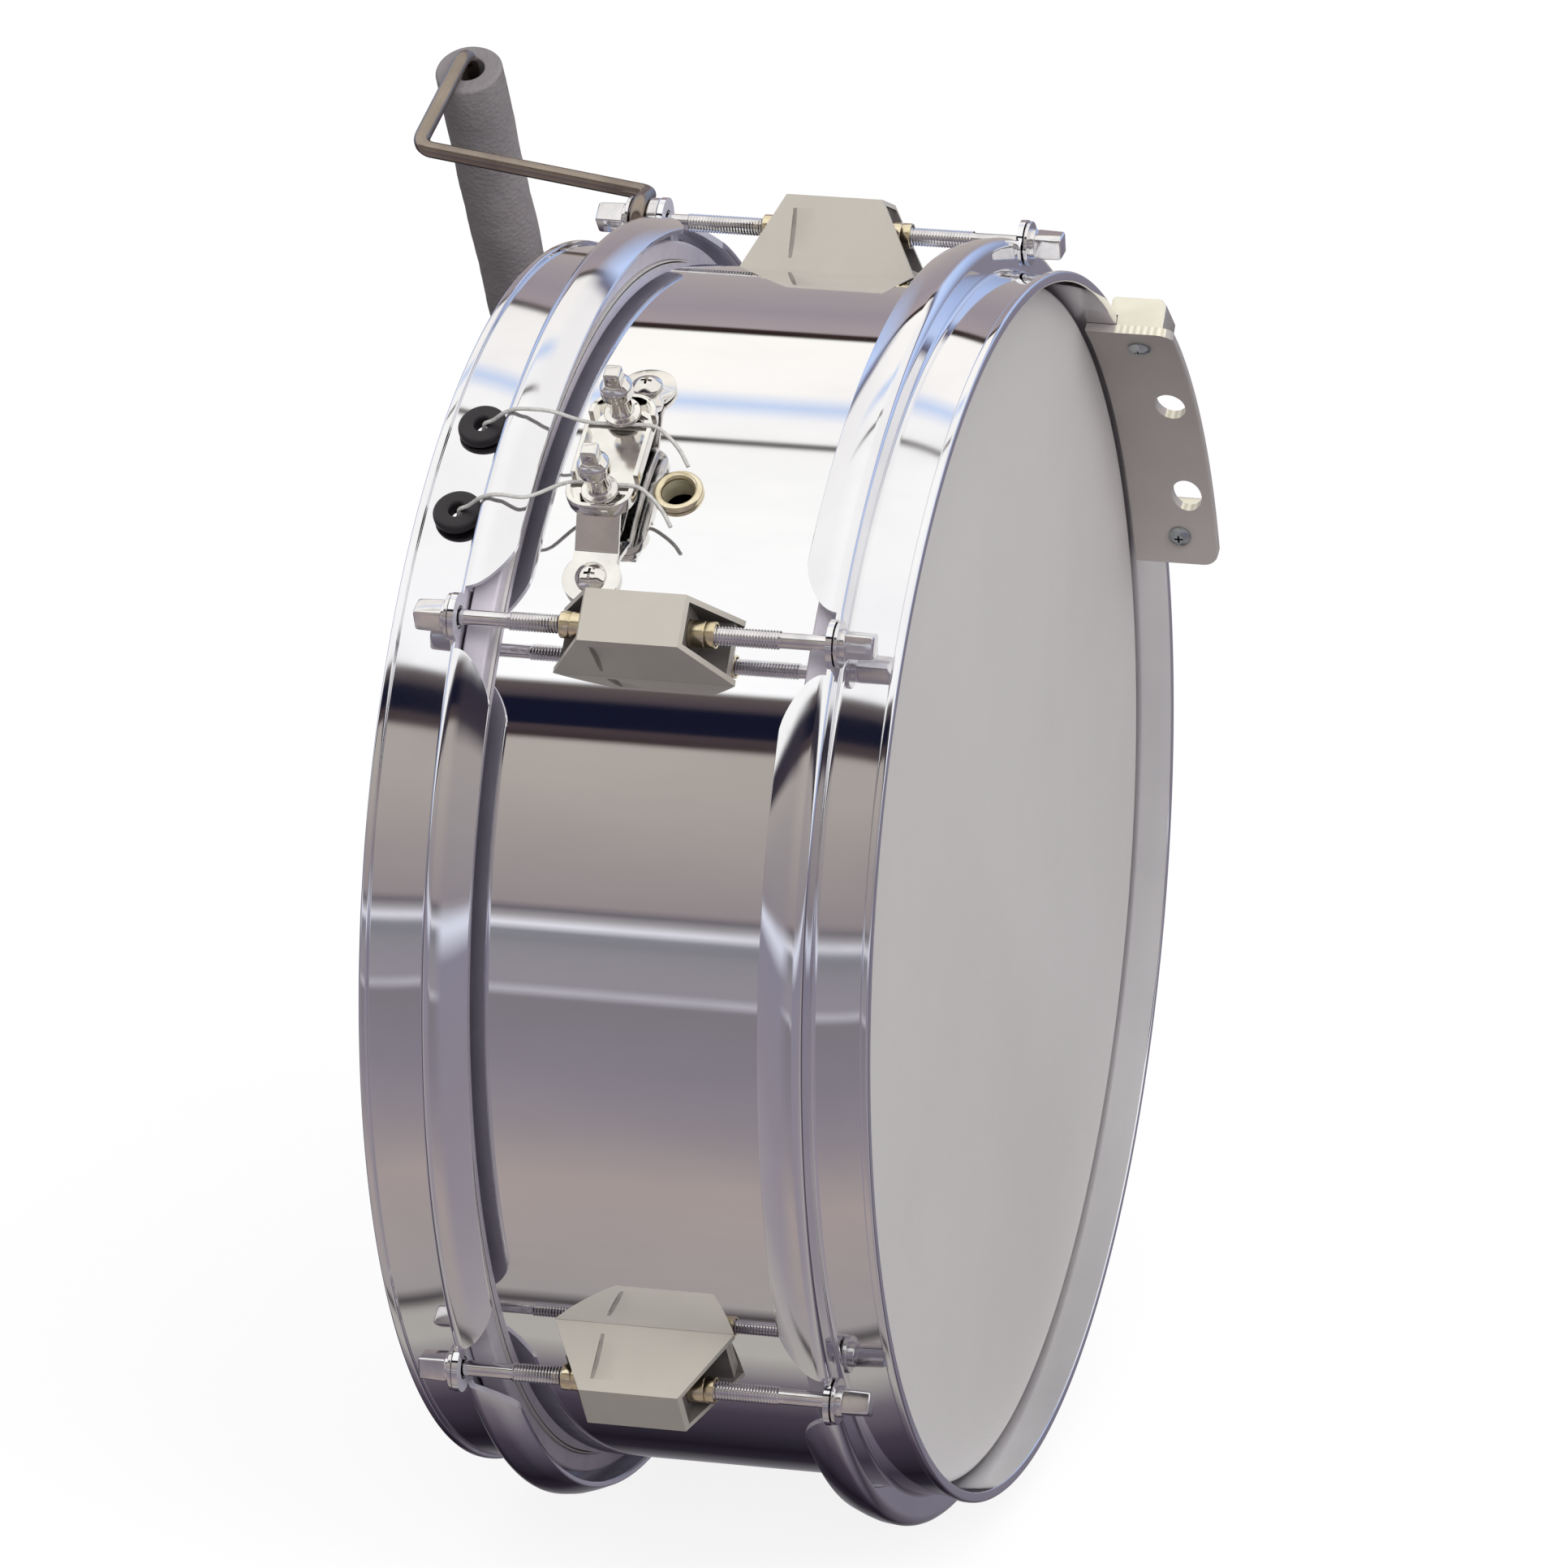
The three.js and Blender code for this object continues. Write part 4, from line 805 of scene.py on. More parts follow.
def make_hoop(side, place, grommet_turns):
    flange = flange_faces[side]
    gaps, ears, holes = [], [], []
    for turn in lug_turns:
        about = Matrix.Rotation(radians(turn), 4, "X")
        gaps.append(moved(skirt_gap(flange), about))
        ears.append(moved(hoop_ear(flange), about))
        hole = bar((flange - 2 * hoop_sheet, flange + hoop_sheet), ear_hole_radius)
        holes.append(moved(hole, about @ Matrix.Translation((0, 0, rod_circle))))
    for turn in grommet_turns:
        for across in (-cord_spread, cord_spread):
            hole = pin(hoop_inner_radius - hoop_sheet, hoop_wall_radius + hoop_sheet, grommet_neck_radius)
            about = Matrix.Rotation(radians(turn), 4, "X")
            holes.append(moved(hole, about @ Matrix.Translation((grommet_place, across, 0))))
    shape = cut(joined(cut(hoop_ring(flange), gaps), together(ears)), holes)
    for face in shape.faces:
        middle = face.calc_center_median()
        inward = face.normal.y * middle.y + face.normal.z * middle.z < 0
        if inward and flange - skirt_depth + 2 * soft_edge < middle.x < flange - hoop_sheet / 2:
            face.material_index = 1
    hoop = finish_piece(shape, f"{side}_counter_hoop", hoop_chrome, "hoop", [f"{side}_hoop"], place)
    hoop.data.materials.append(dull_chrome)


make_hoop("batter", drum_place(), [])
make_hoop("snare", snare_place(), [-snare_turn, -butt_turn])


# Lug casings
# Folded steel sheet with a satin warm-grey finish: a top, two side walls with a pressed crease, open
# sloping ends, and inside them two webs that hold the nuts. Two screws come up through the shell.

lug_base = (54.5, 20)
lug_top = (29.5, 16)
lug_height = 22.4
lug_sheet = 1.6
lug_web_place = 13
lug_web_thickness = 2
lug_foot_end = 24.5
lug_foot_height = 2.4
lug_screw_place = 20
lug_screw_radius = 2
lug_screw_head_radius = 3.8
lug_screw_head_height = 2.4
lug_screw_dome = 1.4
lug_screw_sides = 24
lug_fold = 1.7
lug_sink = 1
lug_through_share = 1.1
lug_skin_share = 0.95
rim_facing_share = 0.4
nut_radius = 3.9
crease_place = -11.4
crease_height_share = 0.48
crease_rows = [(-7.6, 0.02), (-5.6, 0.5), (-3.2, 0.95), (0, 1.1), (3.2, 0.95), (5.6, 0.5), (7.6, 0.02)]
crease_wall = -0.8
crease_floor_end = 0.3
crease_slope_middle = 2.4
crease_end = 6
crease_runout = 0.01
crease_reach = 1.2
crease_skin = 0.2

lug_paint = finish("satin grey", "cdc7bc", "c7c1b7", 0.15, 0.42, 0.5, 30, 900, 0.06)
# Painted shade: the crease's floor is a darker grey, for the shade in the narrow groove.
crease_shade_paint = finish("painted crease shade", "a19c95", "8f8a84", 0.1, 0.5, 0.6, 200, 900, 0.06)
# Painted shade: the faces inside the hollow casing are a dark grey, for the shade that falls there.
shaded_paint = finish("painted inside shade", "6d6866", "5c5755", 0, 0.6, 0.7, 90, 900, 0.1)


def narrowed(foot, top, low, high, fold=0):
    """A block that narrows from its foot to its top, with its two long top edges folded round."""
    shape = bmesh.new()
    bmesh.ops.create_cube(shape, size=1)
    for corner in shape.verts:
        length, width = top if corner.co.z > 0 else foot
        corner.co = (corner.co.x * length, corner.co.y * width, high if corner.co.z > 0 else low)
    if fold:
        folds = [
            edge for edge in shape.edges
            if all(corner.co.z == high for corner in edge.verts)
            and abs(edge.verts[0].co.y - edge.verts[1].co.y) < lug_sheet
        ]
        eased(shape, folds, fold, segments=4)
    return shape


def block(along, across, out):
    shape = bmesh.new()
    bmesh.ops.create_cube(shape, size=1)
    spans = [along, across, out]
    bmesh.ops.scale(shape, verts=shape.verts, vec=[span[1] - span[0] for span in spans])
    bmesh.ops.translate(shape, verts=shape.verts, vec=[(span[0] + span[1]) / 2 for span in spans])
    return shape


def crease_cutter(side):
    """One pressed crease: sheer along one edge, running out on the other side, shallower at its ends."""
    lean = atan2((lug_base[1] - lug_top[1]) / 2, lug_height)
    clear = side * lug_sheet
    shape = bmesh.new()
    rings = []
    for height, depth in crease_rows:
        profile = [
            (crease_wall, depth),
            (crease_floor_end, depth),
            (crease_slope_middle, depth / 2),
            (crease_end, -crease_runout),
        ]
        sunk = [(along, -side * deep) for along, deep in profile]
        points = [(crease_wall, clear), *sunk, (crease_end, clear)]
        rings.append([shape.verts.new((along, across, height)) for along, across in points])
    for lower, upper in zip(rings, rings[1:]):
        for index in range(len(lower)):
            following = (index + 1) % len(lower)
            shape.faces.new((lower[index], lower[following], upper[following], upper[index]))
    shape.faces.new(rings[0])
    shape.faces.new(rings[-1])
    bmesh.ops.recalc_face_normals(shape, faces=shape.faces)
    middle = shell_radius + lug_height * crease_height_share
    face = side * (lug_base[1] + lug_top[1]) / 4
    tilt = Matrix.Rotation(side * lean, 4, "X")
    return moved(shape, Matrix.Translation((crease_place, face, middle)) @ tilt)


def lug_screw(along):
    head_top = shell_radius - shell_wall - hair_edge
    foot = shell_radius + lug_foot_height / 2
    outline = [
        (head_top - lug_screw_head_height, 0),
        (head_top - lug_screw_head_height, lug_screw_head_radius, lug_screw_dome),
        (head_top, lug_screw_head_radius, fine_edge),
        (head_top, lug_screw_radius),
        (foot, lug_screw_radius),
        (foot, 0),
    ]
    return moved(turned_out(outline, lug_screw_sides), Matrix.Translation((along, 0, 0)))


def paint_crease_and_inside_shade(shape, low, high):
    """Gives the crease's floor the painted crease shade, and the faces inside the casing the painted inside
    shade, a dark grey for the shade in the hollow.
    """
    skin = lug_skin_share * lug_sheet
    for face in shape.faces:
        middle = face.calc_center_median()
        half_width = (lug_base[1] - (lug_base[1] - lug_top[1]) * (middle.z - low) / (high - low)) / 2
        deep = half_width - abs(middle.y)
        past_web = abs(middle.x) > lug_web_place + 2 * lug_web_thickness
        end_rim = abs(face.normal.x) > rim_facing_share and past_web
        # The crease's floor takes the painted crease shade.
        if abs(middle.x - crease_place) < crease_reach and crease_skin < deep < lug_sheet:
            face.material_index = 1
        # Faces inside the casing take the painted inside shade.
        elif deep > skin and middle.z < high - skin and not end_rim:
            face.material_index = 2


def lug_shape():
    low, high = shell_radius - lug_sink, shell_radius + lug_height
    through = lug_base[0] * lug_through_share
    hollow_foot, hollow_top = ((through, size[1] - 2 * lug_sheet) for size in (lug_base, lug_top))
    hollow = narrowed(hollow_foot, hollow_top, low - lug_sheet, high - lug_sheet, fold=round_edge)
    shape = cut(narrowed(lug_base, lug_top, low, high, fold=lug_fold), [hollow])
    inside = []
    for end in (-1, 1):
        web = sorted((end * lug_web_place, end * (lug_web_place + lug_web_thickness)))
        foot = sorted((end * lug_web_place, end * lug_foot_end))
        half_top = lug_top[1] / 2 - lug_sheet / 2
        half_base = lug_base[1] / 2 - lug_sheet
        inside.append(block(web, (-half_top, half_top), (low, high - lug_sheet / 2)))
        inside.append(block(foot, (-half_base, half_base), (low, shell_radius + lug_foot_height)))
    for part in inside:
        shape = joined(shape, part)
    nut_hole = moved(bar((-through, through), nut_radius + seat_gap), Matrix.Translation((0, 0, rod_circle)))
    tube_below = bar((-through, through), shell_radius + hair_gap, round_sides)
    for tools in ([nut_hole], [tube_below], [crease_cutter(-1), crease_cutter(1)]):
        shape = cut(shape, tools)
    paint_crease_and_inside_shade(shape, low, high)
    return together([shape, lug_screw(-lug_screw_place), lug_screw(lug_screw_place)])


one_lug = lug_shape()
for lug, turn in enumerate(lug_turns):
    place = drum_place(turn, along=drum_middle)
    name = f"lug_{lug + 1}"
    bridge = finish_piece(one_lug.copy(), f"{name}_bridge", lug_paint, "lug", [f"{name}_casing"], place)
    # The second and third materials are the painted crease shade and the painted inside shade.
    for other_paint in (crease_shade_paint, shaded_paint):
        bridge.data.materials.append(other_paint)
    bridge.modifiers.new("flat faces", "WEIGHTED_NORMAL").keep_sharp = True


# Swivel nuts
# Plain turned brass sleeves, threaded inside. A flange holds each behind its web, and its mouth shows
# in the lug's open end.

nut_reach = 22.9
nut_bore_radius = 3.15
nut_flange_radius = 5.6
nut_flange_thickness = 2.4
nut_groove = (3.4, 3.1, 2.7)
nut_groove_depth = 0.25

nut_brass = finish("turned brass", "efe3c6", "dccba4", 1, 0.16, 0.32, 150, 1200, 0.08)


def make_nut(name, node_name, place):
    flange = drum_middle + lug_web_place - seat_gap
    mouth = drum_middle + nut_reach
    before, bottom, after = (mouth - back for back in nut_groove)
    outline = [
        (flange - nut_flange_thickness, nut_bore_radius),
        (flange - nut_flange_thickness, nut_flange_radius, eased_edge),
        (flange, nut_flange_radius, eased_edge),
        (flange, nut_radius),
        (before, nut_radius),
        (bottom, nut_radius - nut_groove_depth, fine_edge),
        (after, nut_radius),
        (mouth, nut_radius, round_edge),
        (mouth, nut_bore_radius, small_edge),
    ]
    finish_piece(turned(outline, 48), name, nut_brass, "brass", [node_name], place)


# Tension rods
# Plated steel screws with a rolled thread, a plain shank, a loose washer that bears on the hoop's ear,
# and a square head on a turned collar. The two that hold the leg rest's hooks have a thick spacer
# below the hook, and stand as much higher.

rod_thread_radius = 2.8
rod_shank_radius = 2.3
rod_shank_length = 16
rod_inner_end = 5
thread_pitch = 0.9
thread_depth = 0.4
thread_root = 0.35
thread_runout = 0.8
thread_start = 1
washer_radius = 6.8
washer_thickness = 1.2
rod_collar_radius = 4.6
rod_collar_height = 1.6
rod_head_width = 7.2
rod_head_height = 8
rod_head_turn = 30
rod_head_crown = 0.9
head_taper_share = 0.94
head_sink = 0.6
washer_edge = 0.35
bail_wire_radius = 2.5
bail_spacer = 3.1
bail_level = flange_faces["snare"] + 2 * seat_gap + bail_spacer + bail_wire_radius

rod_plate = finish("plated rod", "eeecec", "d6d4d6", 1, 0.1, 0.22, 110, 600, 0.05)


def rolled_thread(start, end, radius, depth, pitch, sides=14):
    """A ridge wound along the axis, one turn for each pitch."""
    turns = int((end - start) / pitch)
    shape = bmesh.new()
    profile = [(0, radius - depth), (pitch / 2, radius), (pitch, radius - depth)]
    corners = [shape.verts.new((start + along, 0, out)) for along, out in profile]
    edges = [shape.edges.new(pair) for pair in zip(corners, corners[1:])]
    bmesh.ops.spin(
        shape, geom=corners + edges, cent=(0, 0, 0), axis=(1, 0, 0), dvec=(pitch / sides, 0, 0),
        angle=2 * pi * turns, steps=sides * turns, use_merge=False, use_duplicate=False,
    )
    bmesh.ops.remove_doubles(shape, verts=shape.verts, dist=2 * weld)
    bmesh.ops.recalc_face_normals(shape, faces=shape.faces)
    return shape


def square_head(low, high, width, crown):
    """A square head along the axis, slightly narrower at its domed end, with its corners eased."""
    shape = bmesh.new()
    bmesh.ops.create_cube(shape, size=1)
    for corner in shape.verts:
        share = head_taper_share if corner.co.x > 0 else 1
        along = high if corner.co.x > 0 else low
        corner.co = (along, corner.co.y * width * share, corner.co.z * width * share)
    end = [edge for edge in shape.edges if all(corner.co.x == high for corner in edge.verts)]
    eased(shape, end, 2 * crown, segments=4)
    sides = [edge for edge in shape.edges if edge.calc_face_angle(0) > radians(60)]
    eased(shape, sides, crown, segments=3)
    return shape


def make_rod(name, node_name, place, seat, low):
    thread_end = seat - washer_thickness - rod_shank_length
    collar = seat + washer_thickness + rod_collar_height
    start = drum_middle + rod_inner_end
    root = rod_thread_radius - thread_root
    spacer = [
        (low, rod_shank_radius),
        (low, washer_radius, soft_edge),
        (low + bail_spacer, washer_radius, soft_edge),
        (low + bail_spacer, rod_shank_radius),
    ]
    shank = turned([
        (start, 0),
        (start, root, soft_edge),
        (thread_end, root, hair_edge),
        (thread_end + thread_runout, rod_shank_radius, hair_edge),
        *(spacer if low < seat else []),
        (seat, rod_shank_radius),
        (seat, washer_radius, washer_edge),
        (seat + washer_thickness, washer_radius, washer_edge),
        (seat + washer_thickness, rod_collar_radius, hair_edge),
        (collar, rod_collar_radius, round_edge),
        (collar, 0),
    ], 48)
    thread = rolled_thread(start + thread_start, thread_end, rod_thread_radius, thread_depth, thread_pitch)
    head = square_head(collar - head_sink, collar + rod_head_height, rod_head_width, rod_head_crown)
    moved(head, Matrix.Rotation(radians(rod_head_turn), 4, "X"))
    shape = together([shank, thread, head])
    finish_piece(shape, name, rod_plate, "rod", [node_name], place, body=node_name, crease=25)


for lug, turn in enumerate(lug_turns):
    places = {"batter": drum_place(turn, out=rod_circle), "snare": snare_place(-turn, out=rod_circle)}
    for side, place in places.items():
        holds_bail = side == "snare" and lug in (0, lug_count - 1)
        low = flange_faces[side] + seat_gap
        seat = bail_level + bail_wire_radius + seat_gap if holds_bail else low
        make_nut(f"{side}_{lug + 1}_brass_sleeve", f"{side}_{lug + 1}_swivel_nut", place)
        make_rod(f"{side}_{lug + 1}_rod", f"{side}_{lug + 1}_tension_rod", place, seat, low)


# Strainer
# A chromed strap stands on the shell on two round feet, each held by a domed cross-recessed screw. An
# oblong tray lies on it, and two square-headed screws with bell-shaped collars clamp the cords in the tray.

strainer_turn = 54.3
strainer_place = drum_middle - 20.4
foot_reach = 35.4
foot_radius = 8.5
foot_turn = asin(foot_reach / shell_radius)
deck_half = 19
deck_low = shell_radius + 6.2
strap_width = 13
strap_sheet = 1.5
deck_top = deck_low + strap_sheet
tray_length = 43
tray_width = 20
tray_corner = 7
tray_sheet = 1.4
tray_depth = 4.4
tray_low = deck_top + seat_gap
tray_floor = tray_low + tray_sheet
cord_radius = 0.6
cord_height = tray_floor + seat_gap + cord_radius
clamp_seat = cord_height + cord_radius + seat_gap
clamp_place = 14.5
clamp_shank_radius = 2
cord_offset = clamp_shank_radius + cord_radius + 2 * seat_gap
foot_seat = shell_radius + seat_gap + strap_sheet + seat_gap
foot_screw_length = 5.2
foot_screw_radius = 2.1
foot_hole_radius = 2.4
foot_head_radius = 4.6
foot_head_height = 2.8
foot_head_sink = 0.25
strap_bend = 3
strap_foot_bend = 2
strap_edge = 0.25
tray_rim_edge = 0.45
tray_hole_overrun = 1
cut_overrun = 2
below_deck = 4
clamp_washer_radius = 5.4
clamp_washer_height = 1.2
clamp_neck = 7.4
clamp_bulb = 14.4
clamp_bulb_radius = 4.8
clamp_neck_radius = 3
clamp_cone_radius = 3.4
clamp_shoulder_radius = 3.2
clamp_neck_bend = 1.5
clamp_bulb_foot = 1.6
clamp_bulb_shoulder = 1.8
clamp_bulb_edge = 0.8
clamp_bulb_bend = 1.6
clamp_head_width = 5.2
clamp_head_height = 4.6
clamp_head_sink = 1
recess_foot_shares = (0.8, 0.22)
recess_mouth_shares = (2, 0.42)
recess_depth_share = 0.9
dome_rim_share = 0.3
dome_height_share = 0.85
dome_crown_share = 0.55

fitting_chrome = finish("bright fittings", "f0eee9", "dfdcd8", 1, 0.05, 0.14, 70, 500, 0.04)


def strap_shape(clamp_spread, screw_holes):
    """The strap, bent at its feet and at the edges of its deck, and rounded at its ends."""
    middle = shell_radius + seat_gap + strap_sheet / 2
    foot = Vector((middle * sin(foot_turn), middle * cos(foot_turn)))
    slope = Vector((cos(foot_turn), -sin(foot_turn)))
    deck_middle = deck_low + strap_sheet / 2
    half = [
        foot + slope * foot_radius,
        foot - slope * foot_radius,
        Vector((deck_half, deck_middle)),
    ]
    line = half + [Vector((-point.x, point.y)) for point in reversed(half)]
    bends = [0, strap_foot_bend, strap_bend, strap_bend, strap_foot_bend, 0]
    path = softened([(*point, bend) for point, bend in zip(line, bends)], closed=False)
    upper, lower = [], []
    for index, point in enumerate(path):
        before = path[max(index - 1, 0)]
        after = path[min(index + 1, len(path) - 1)]
        heading = (after - before).normalized()
        side = Vector((-heading.y, heading.x)) * strap_sheet / 2
        upper.append(point + side)
        lower.append(point - side)
    section = [(-foot_radius, point.x, point.y) for point in upper + lower[::-1]]
    strap = pressed(section, (2 * foot_radius, 0, 0))
    low, high = shell_radius * cos(2 * foot_turn), deck_top + cut_overrun
    width = block((-strap_width / 2, strap_width / 2), (-foot_reach, foot_reach), (low, high))
    for end in (-1, 1):
        pad = pin(low, high, foot_radius)
        width = joined(width, moved(pad, Matrix.Rotation(end * foot_turn, 4, "X")))
    strap = worked(strap, width, "INTERSECT")
    holes = []
    for end in (-1, 1):
        hole = pin(low, high, clamp_shank_radius + seat_gap)
        holes.append(moved(hole, Matrix.Translation((0, end * clamp_spread, 0))))
        if screw_holes:
            holes.append(moved(pin(low, high, foot_hole_radius), Matrix.Rotation(end * foot_turn, 4, "X")))
    strap = cut(strap, holes)
    edges = [edge for edge in strap.edges if edge.is_manifold and edge.calc_face_angle() > radians(50)]
    eased(strap, edges, strap_edge, segments=2, clamped=True)
    return strap


def rounded_oblong(length, width, corner, out):
    """An oblong seen from outside the drum, its long way across, as points at one height."""
    outline = softened([
        (-width / 2, -length / 2, corner),
        (width / 2, -length / 2, corner),
        (width / 2, length / 2, corner),
        (-width / 2, length / 2, corner),
    ])
    return [(along, across, out) for along, across in outline]


def tray_shape():
    outer = pressed(rounded_oblong(tray_length, tray_width, tray_corner, tray_low), (0, 0, tray_depth))
    eased(outer, level_edges(outer, 2), tray_rim_edge, segments=3)
    inner_size = (tray_length - 2 * tray_sheet, tray_width - 2 * tray_sheet, tray_corner - tray_sheet)
    tools = [pressed(rounded_oblong(*inner_size, tray_floor), (0, 0, tray_depth))]
    shape = cut(outer, tools)
    holes = []
    for end in (-1, 1):
        low, high = tray_low - tray_hole_overrun, tray_floor + tray_hole_overrun
        hole = pin(low, high, clamp_shank_radius + seat_gap)
        holes.append(moved(hole, Matrix.Translation((0, end * clamp_place, 0))))
        cord = end * (clamp_place - cord_offset)
        notch = (cord - 4 * cord_radius, cord + 4 * cord_radius)
        holes.append(block((-tray_width, tray_width), notch, (tray_floor, tray_floor + tray_depth)))
    return cut(shape, holes)


def clamp_screw_shape():
    washer, neck, bulb = (clamp_seat + height for height in (clamp_washer_height, clamp_neck, clamp_bulb))
    shank = turned_out([
        (deck_low - below_deck, 0),
        (deck_low - below_deck, clamp_shank_radius, eased_edge),
        (clamp_seat, clamp_shank_radius),
        (clamp_seat, clamp_washer_radius, small_edge),
        (washer, clamp_washer_radius, soft_edge),
        (washer + fine_edge, clamp_cone_radius, round_edge),
        (neck, clamp_neck_radius, clamp_neck_bend),
        (neck + clamp_bulb_foot, clamp_bulb_radius, clamp_bulb_edge),
        (bulb - clamp_bulb_shoulder, clamp_bulb_radius, clamp_bulb_bend),
        (bulb, clamp_shoulder_radius, clamp_bulb_edge),
        (bulb, 0),
    ])
    head_foot, head_top = bulb - clamp_head_sink, bulb + clamp_head_height
    head = square_head(head_foot, head_top, clamp_head_width, rod_head_crown)
    return together([shank, moved(head, Matrix.Rotation(-pi / 2, 4, "Y"))])


def cross_recess(top, reach):
    """Two tapered wings crossing, to sink in a screw's head."""
    foot = [reach * share for share in recess_foot_shares]
    mouth = [reach * share for share in recess_mouth_shares]
    wings = []
    for turn in (0, pi / 2):
        wing = narrowed(foot, mouth, top - reach * recess_depth_share, top + reach)
        wings.append(moved(wing, Matrix.Rotation(turn, 4, "Z")))
    return joined(*wings)


def domed_screw(tip, radius, seat, head_radius, head_height):
    """A screw that stands out from the drum, with a low round head and a cross recess."""
    rim = head_height * dome_rim_share
    crown = head_radius * dome_crown_share
    outline = [
        (tip, 0),
        (tip, radius, eased_edge),
        (seat, radius),
        (seat, head_radius, fine_edge),
        (seat + rim, head_radius, rim),
        (seat + head_height * dome_height_share, crown, head_height),
        (seat + head_height, 0),
    ]
    return cut(turned_out(outline), [cross_recess(seat + head_height, crown)])


def foot_screw(sink):
    tip = shell_radius - foot_screw_length
    return domed_screw(tip, foot_screw_radius, foot_seat - sink, foot_head_radius, foot_head_height)


def make_strainer():
    place = drum_place(strainer_turn, along=strainer_place)
    look = (fitting_chrome, "bright_fittings")
    finish_piece(strap_shape(clamp_place, True), "strainer_strap", *look, ["strainer_bridge"], place)
    finish_piece(tray_shape(), "strainer_dish", *look, ["strainer_tray"], place)
    for name, end in (("upper", 1), ("lower", -1)):
        screw = f"strainer_{name}_clamp_screw"
        at = place @ Matrix.Translation((0, end * clamp_place, 0))
        finish_piece(clamp_screw_shape(), f"{name}_clamp", *look, [screw], at, body=screw)
        foot = drum_place(strainer_turn - end * degrees(foot_turn), along=strainer_place)
        fixing = foot_screw(foot_head_sink)
        finish_piece(fixing, f"{name}_foot_fixing", *look, [f"strainer_{name}_foot_screw"], foot)


make_strainer()


# Butt end
# The same strap on the far side of the shell, where a flat bar under two domed screws clamps the cords.

butt_bar_low = deck_top + seat_gap + 2 * cord_radius + seat_gap
butt_bar_length = 44
butt_bar_width = 11
butt_bar_corner = 1.4
butt_bar_sheet = 2
butt_bar_top = butt_bar_low + butt_bar_sheet
butt_bar_edge = 0.35
butt_screw_place = 10.8
butt_head_radius = 5.4
butt_head_height = 3


def make_butt():
    place = drum_place(butt_turn, along=strainer_place)
    look = (fitting_chrome, "bright_fittings")
    strap = strap_shape(butt_screw_place, False)
    fixings = [moved(foot_screw(seat_gap), Matrix.Rotation(end * foot_turn, 4, "X")) for end in (-1, 1)]
    finish_piece(together([strap, *fixings]), "butt_strap", *look, ["butt_bridge"], place)
    outline = rounded_oblong(butt_bar_length, butt_bar_width, butt_bar_corner, butt_bar_low)
    plate = pressed(outline, (0, 0, butt_bar_sheet))
    eased(plate, level_edges(plate, 2), butt_bar_edge, segments=2)
    finish_piece(plate, "butt_clamp_bar", *look, ["butt_bar"], place)
    tip, seat = deck_low - below_deck, butt_bar_top + hair_gap
    for name, end in (("first", -1), ("second", 1)):
        screw = domed_screw(tip, clamp_shank_radius, seat, butt_head_radius, butt_head_height)
        at = place @ Matrix.Translation((0, end * butt_screw_place, 0))
        finish_piece(screw, f"butt_{name}_clamp", *look, [f"butt_{name}_screw"], at)


make_butt()


# Grommets
# Black rubber bushes pushed through the snare hoop's wall, which keep the cords off the metal's edge.

grommet_radius = 7.2
grommet_bore_radius = 2.3
grommet_height = 2.4
grommet_dome = 1.7
grommet_mouth = 1
touch_gap = 0.1

black_rubber = finish("black rubber", "1b171b", "262126", 0, 0.42, 0.6, 160, 1500, 0.15)


def make_grommet(name, turn, across):
    seat = hoop_wall_radius + touch_gap
    top = seat + seat_gap + grommet_height
    outline = [
        (hoop_inner_radius, grommet_bore_radius, small_edge),
        (hoop_inner_radius, grommet_neck_radius),
        (seat, grommet_neck_radius),
        (seat, grommet_radius, soft_edge),
        (top, grommet_radius, grommet_dome),
        (top, grommet_bore_radius, grommet_mouth),
    ]
    place = snare_place(turn, along=grommet_place, across=across)
    finish_piece(turned_out(outline), f"{name}_bush", black_rubber, "grommet", [f"{name}_grommet"], place)


# Snare cords
# Thin white braided cord. Each starts on the snares' end plate, goes out through a grommet and over the
# hoop's skirt, and is clamped in the strainer's tray or under the butt's bar. At the strainer its cut
# end hangs out.

wire_plate_thickness = 1.2
wire_half_length = shell_radius - 27.8
wire_plate_length = 13
cord_tail = 13
flat_radius = collar_radius + film_thickness - edge_radius

white_cord = finish("white cord", "d9d7d4", "c3c0bc", 0, 0.6, 0.8, 900, 2500, 0.4)


def station_point(turn, along, across, out):
    return snare_place(turn) @ Vector((along, across, out)) * mm


def over_hoop(turn, across):
    flange = flange_faces["snare"]
    on_plate = 2 * seat_gap + wire_plate_thickness + cord_radius
    plate_end = wire_half_length + wire_plate_length
    over_head = cord_radius + 2 * seat_gap
    round_head = (edge_radius + over_head) * sqrt(0.5)
    over_skirt = skirt_radius + 2 * seat_gap + cord_radius
    bush_top = hoop_wall_radius + seat_gap + grommet_height
    lean = (grommet_bore_radius - cord_radius) / 2
    route = [
        (on_plate, plate_end - wire_plate_length),
        (on_plate, plate_end - wire_plate_length / 2),
        (on_plate, plate_end + seat_gap),
        ((on_plate + over_head) / 2, (plate_end + flat_radius) / 2),
        (over_head, flat_radius),
        (round_head - edge_radius, flat_radius + round_head),
        (grommet_place + lean, hoop_inner_radius + cord_radius),
        (grommet_place, (hoop_inner_radius + bush_top) / 2),
        (grommet_place - lean, bush_top + cord_radius),
        (grommet_place - grommet_radius / 2, bush_top + 4 * cord_radius),
        (flange, over_skirt - skirt_shoulder / 2),
        (flange - skirt_shoulder, over_skirt),
        (flange - skirt_belly, over_skirt + seat_gap),
        (flange - skirt_depth, over_skirt),
    ]
    return [station_point(turn, along, across, sqrt(out ** 2 - across ** 2)) for along, out in route]


